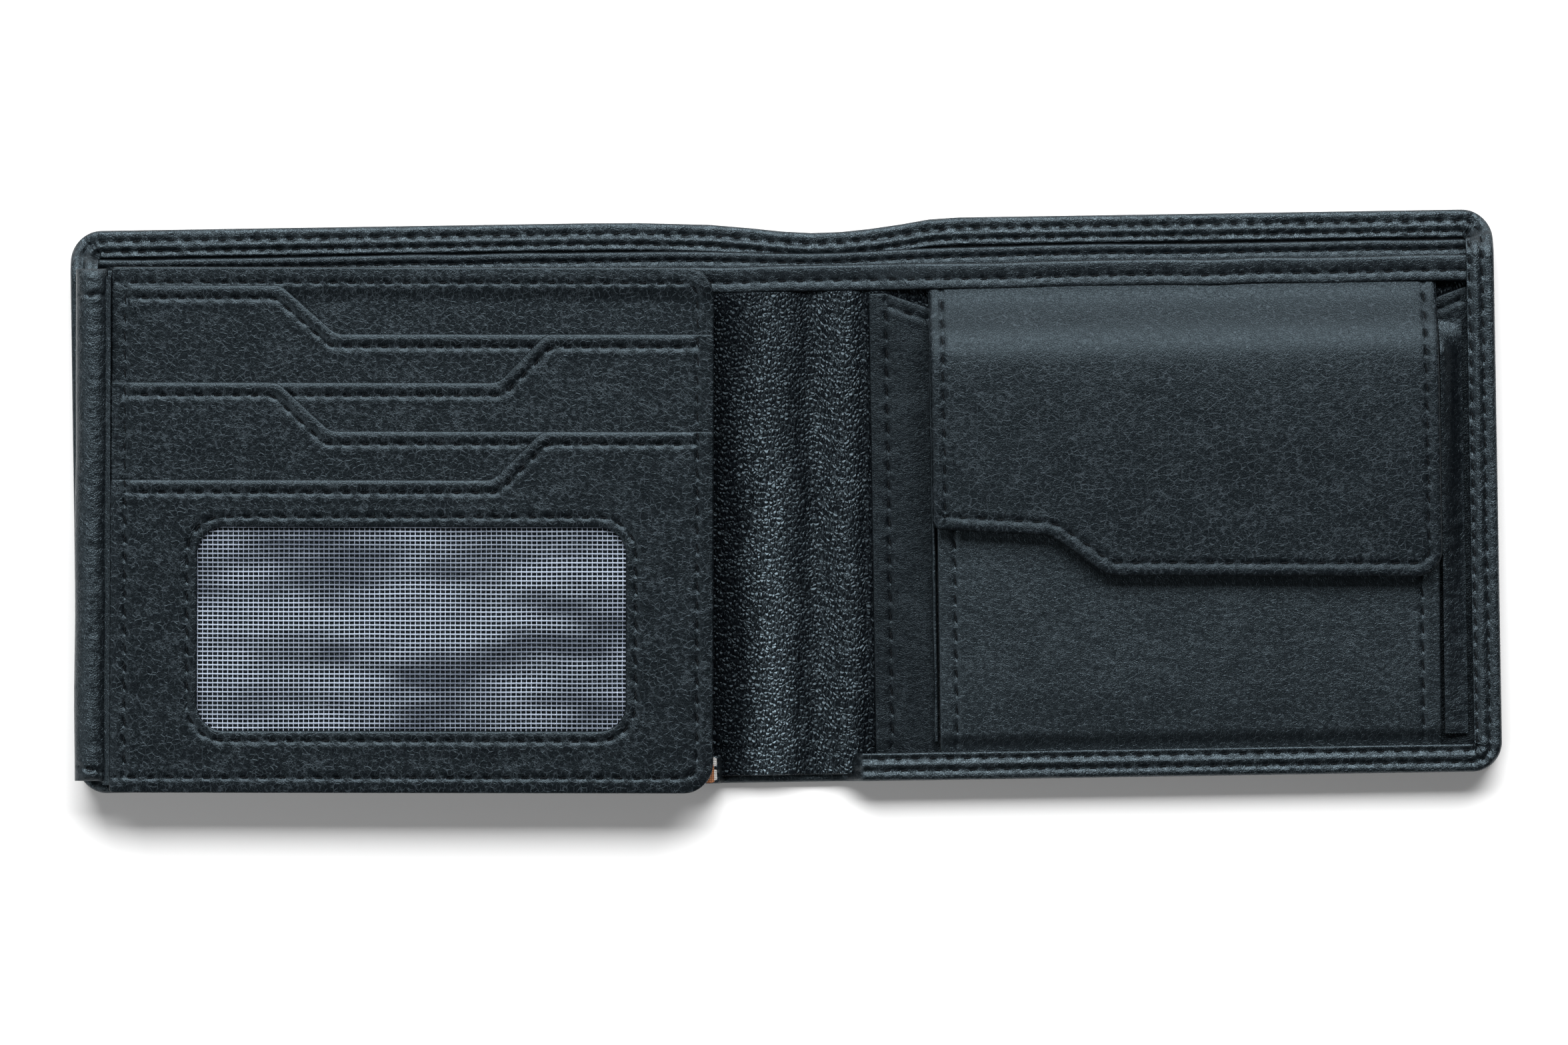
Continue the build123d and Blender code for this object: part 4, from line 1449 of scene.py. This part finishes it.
def card_pocket(index):
    """One of the wing's three card pockets."""
    node = f"card_pocket_{index + 1}"
    low, high = span(node)[2]
    soft = wing_soft(110 + 5 * index)
    step, below = STEPS[index : index + 2]

    def face(x, y):
        return high - 0.05 + soft(x, y) * 0.8 + edge_fall(x, y) * 0.3

    outlines, rows = [pocket_path(*step)], [mouth_row(*step)]
    shown, sides = shown_band(step, below), [LEFT_SIDE, RIGHT_SIDE]
    wing_piece(f"{node}_leather", node, outlines, face, low, rows, shown, 0.26, sides)


def window_outline(grow):
    """The window's opening, grown by a margin."""
    half_u, half_v, radius = WINDOW
    u, v = (-half_u - grow, half_u + grow), (WINDOW_V - half_v - grow, WINDOW_V + half_v + grow)
    return oblong(u, v, radius + grow)


def window_face(x, y):
    """The window panel, which sinks a little towards the mesh."""
    soft = wing_soft(130)(x, y)
    gap_x = np.maximum(np.abs(x) - WINDOW[0], 0)
    gap_y = np.maximum(np.abs(y - WINDOW_V) - WINDOW[1], 0)
    near = np.hypot(gap_x, gap_y)
    return WINDOW_Z[1] - 0.08 + soft + edge_fall(x, y) - 0.1 * bell(near, 0.9)


def window_panel():
    """The wing's front panel, with the opening for the mesh."""
    window_row = Row(window_outline(1.7), pitch=3.0, pucker=0.04, closed=True)
    rows = [mouth_row(*STEPS[3]), window_row, BOTTOM_SIDE, LEFT_SIDE, RIGHT_SIDE]
    outlines = [pocket_path(*STEPS[3]), window_outline(0)[::-1]]
    name, low = "window_panel_leather", WINDOW_Z[0]
    wing_piece(name, "window_panel", outlines, window_face, low, rows, everywhere, 0.32)


back_outline = oblong((-WING_U, WING_U), (-WING_V, WING_V), [0.6, 5.0, 5.0, 0.6])
name, low = "wing_back_leather", PANEL_BACK_Z[0]
top_strip = (lambda x, y: y > 30, 0.3)
wing_piece(name, "wing_back_panel", [back_outline], back_face, low, [TOP_SIDE], *top_strip)
for index in range(3):
    card_pocket(index)
window_panel()

# Spacing and reach of the mesh's threads both ways, and their radius
PITCH_U, PITCH_V = 0.85, 0.75
HALF_U, HALF_V = 38.5, 19.6
YARN = 0.115


def weave(z, turn, shift):
    """Woven monofilament: threads both ways that pass over and under one another."""
    made = Shape()
    across = np.arange(-HALF_U + shift, HALF_U, PITCH_U)
    rows = np.arange(-HALF_V + shift, HALF_V, PITCH_V)
    corner = np.array([(1, 0), (0, 1), (-1, 0), (0, -1)])
    for j, v in enumerate(rows):
        u = np.arange(-HALF_U, HALF_U, PITCH_U / 2)
        phase = np.cos(np.pi * (u - across[0]) / PITCH_U) * (1 if j % 2 else -1)
        wander = 0.05 * noise(u, np.full(len(u), v), 7.0, 140)
        path = np.stack([u, v + wander, z + YARN * 0.9 * phase], 1)
        sides = [path + np.array([0, a, b]) * YARN * 1.1 for a, b in corner]
        loft(made, np.stack(sides, 1)[:, ::-1])
    for i, u in enumerate(across):
        v = np.arange(-HALF_V, HALF_V, PITCH_V / 2)
        phase = np.cos(np.pi * (v - rows[0]) / PITCH_V) * (-1 if i % 2 else 1)
        wander = 0.05 * noise(np.full(len(v), u), v, 7.0, 141)
        path = np.stack([u + wander, v, z - YARN * 0.9 * phase], 1)
        sides = [path + np.array([a, 0, b]) * YARN * 0.6 for a, b in corner]
        loft(made, np.stack(sides, 1))
    c, s = math.cos(turn), math.sin(turn)
    made.warp(lambda x, y, z: (x * c - y * s, x * s + y * c + WINDOW_V, z))
    return made.warp(on_wing)


for name, look, z, turn, shift, nodes in (
    ("window_mesh_front", NYLON, 9.27, 0.0, 0.0, ["window_mesh"]),
    ("window_mesh_back", NYLON_SHADED, 8.8, 0.012, 0.3, []),
):
    net = ride(name, weave(z, turn, shift), look, "wing", nodes)

# ---- wing hinge ----

# The rolled leather in section: its middle, half width and half height
ROLL_U, ROLL_Z = -54.0, 8.0
ROLL_HIGH = 2.15
ROLL_ROWS = [
    Row([(-56.3, 39.4), (-51.5, 39.4)], pitch=2.4),
    Row([(-56.3, -39.7), (-51.7, -41.0)], pitch=2.4),
]


def roll_top(u, v):
    """Height of the rolled leather's upper face."""
    return ROLL_Z + ROLL_HIGH * np.sqrt(np.clip(1 - ((u - ROLL_U) / 2.72) ** 2, 0, 1))


def hinge_roll():
    """The leather rolled up along the wallet's left end, sewn down near both ends."""
    stations = np.arange(-42.3, 44.05, 0.3)
    turn = np.linspace(0, 2 * np.pi, 33)[:-1]
    rings = []
    for v in stations:
        near_end = min(v - stations[0], stations[-1] - v)
        size = 0.55 + 0.45 * math.sqrt(min(1.0, near_end / 1.2 + 0.08))
        waver = float(noise(v, 0.0, 14.0, 150)) * 0.12
        u = ROLL_U + waver + 2.7 * np.cos(turn)
        z = ROLL_Z + ROLL_HIGH * size * np.sin(turn)
        wrinkle = 0.09 * noise(u, np.full(32, v * 1.4), 2.2, 151)
        wrinkle += 0.05 * noise(u, np.full(32, v * 2.0), 1.0, 153)
        drawn = sum(row.relief(u, np.full(32, v)) for row in ROLL_ROWS)
        z = z + (wrinkle + 1.6 * drawn) * (np.sin(turn) > 0)
        if v < -37.5:
            z = np.maximum(z, 6.1)
        rings.append(np.stack([u, np.full(32, v), z], 1))
    made = Shape()
    loft(made, np.array(rings)[:, ::-1])
    tail = oblong((-53.2, -47.5), (-38.0, 43.6), 0.3)
    panel([tail], level(5.97), level(5.42), 1.5, edge=0.15, under_edge=0.1, shape=made)
    return made.warp(on_wing)


def hinge_web():
    """The strip that joins the wing's left edge to the roll."""
    rings = []
    for v in np.arange(-43.0, 43.4, 0.8):
        sway = float(noise(v, 0.0, 5.0, 152)) * 0.08
        section = [(-51.9, 7.2), (-50.72, 6.9), (-50.72, 9.3), (-51.3, 9.1 + sway), (-51.9, 8.8)]
        rings.append([(u, v, z) for u, z in section])
    made = Shape()
    loft(made, np.array(rings)[:, ::-1])
    return made.warp(on_wing)


roll_nodes = ["wing_hinge_roll"]
ride("wing_hinge_leather", hinge_roll(), SHELL, "left_half", roll_nodes)
ride("wing_hinge_web", hinge_web(), SHELL, "wing")
roll_sewing = stitching(ROLL_ROWS, roll_top).warp(on_wing)
ride("wing_hinge_stitches", roll_sewing, THREAD, "left_half")

# ---- stage ----


def link(made):
    """Puts an object in the scene and returns it."""
    bpy.context.scene.collection.objects.link(made)
    return made


def paper_floor():
    """A wide sheet of white paper under the wallet."""
    grid = bmesh.new()
    bmesh.ops.create_grid(grid, x_segments=8, y_segments=8, size=3.0)
    data = bpy.data.meshes.new("floor")
    grid.to_mesh(data)
    grid.free()
    floor = link(bpy.data.objects.new("floor", data))
    floor.location = (0, 0, CAD_BOX[0][2] - 0.0002)
    paper = Nodes("floor_paper")
    tone = paper.blend_colour(paper.noise(400.0), (0.9, 0.9, 0.9), (0.92, 0.92, 0.92))
    data.materials.append(paper.join(Base_Color=tone, Roughness=0.9))


def lamp(name, place, size, power):
    """A white rectangular area light aimed at the wallet."""
    data = bpy.data.lights.new(name, "AREA")
    data.shape = "RECTANGLE"
    data.size, data.size_y = size
    data.energy = power
    made = link(bpy.data.objects.new(name, data))
    made.location = place
    made.rotation_euler = (-Vector(place)).to_track_quat("-Z", "Y").to_euler()


def sky():
    """A little white light from all round."""
    world = bpy.data.worlds.new("studio")
    world.use_nodes = True
    background = world.node_tree.nodes["Background"]
    background.inputs["Color"].default_value = (1, 1, 1, 1)
    background.inputs["Strength"].default_value = 0.07
    bpy.context.scene.world = world


def take_photo(target, distance, width, tilt, roll):
    """A camera above the wallet that sees a width in metres at that distance."""
    data = bpy.data.cameras.new("camera")
    data.sensor_width = 36.0
    data.lens = 36.0 * distance / width
    camera = link(bpy.data.objects.new("camera", data))
    camera.matrix_world = (
        Matrix.Translation(target)
        @ Matrix.Rotation(math.radians(roll), 4, "Z")
        @ Matrix.Rotation(math.radians(tilt), 4, "X")
        @ Matrix.Translation((0, 0, distance))
    )
    bpy.context.scene.camera = camera


paper_floor()
lamp("key", (0.05, 0.88, 0.9), (1.4, 0.75), 40.0)
lamp("fill", (-0.9, -0.5, 0.9), (0.9, 0.9), 6.0)
sky()
take_photo(Vector((-0.34, -2.93, 5.0)) * MM, distance=1.4, width=0.2643, tilt=0.8, roll=-0.9)
bpy.context.scene.view_settings.view_transform = "Standard"
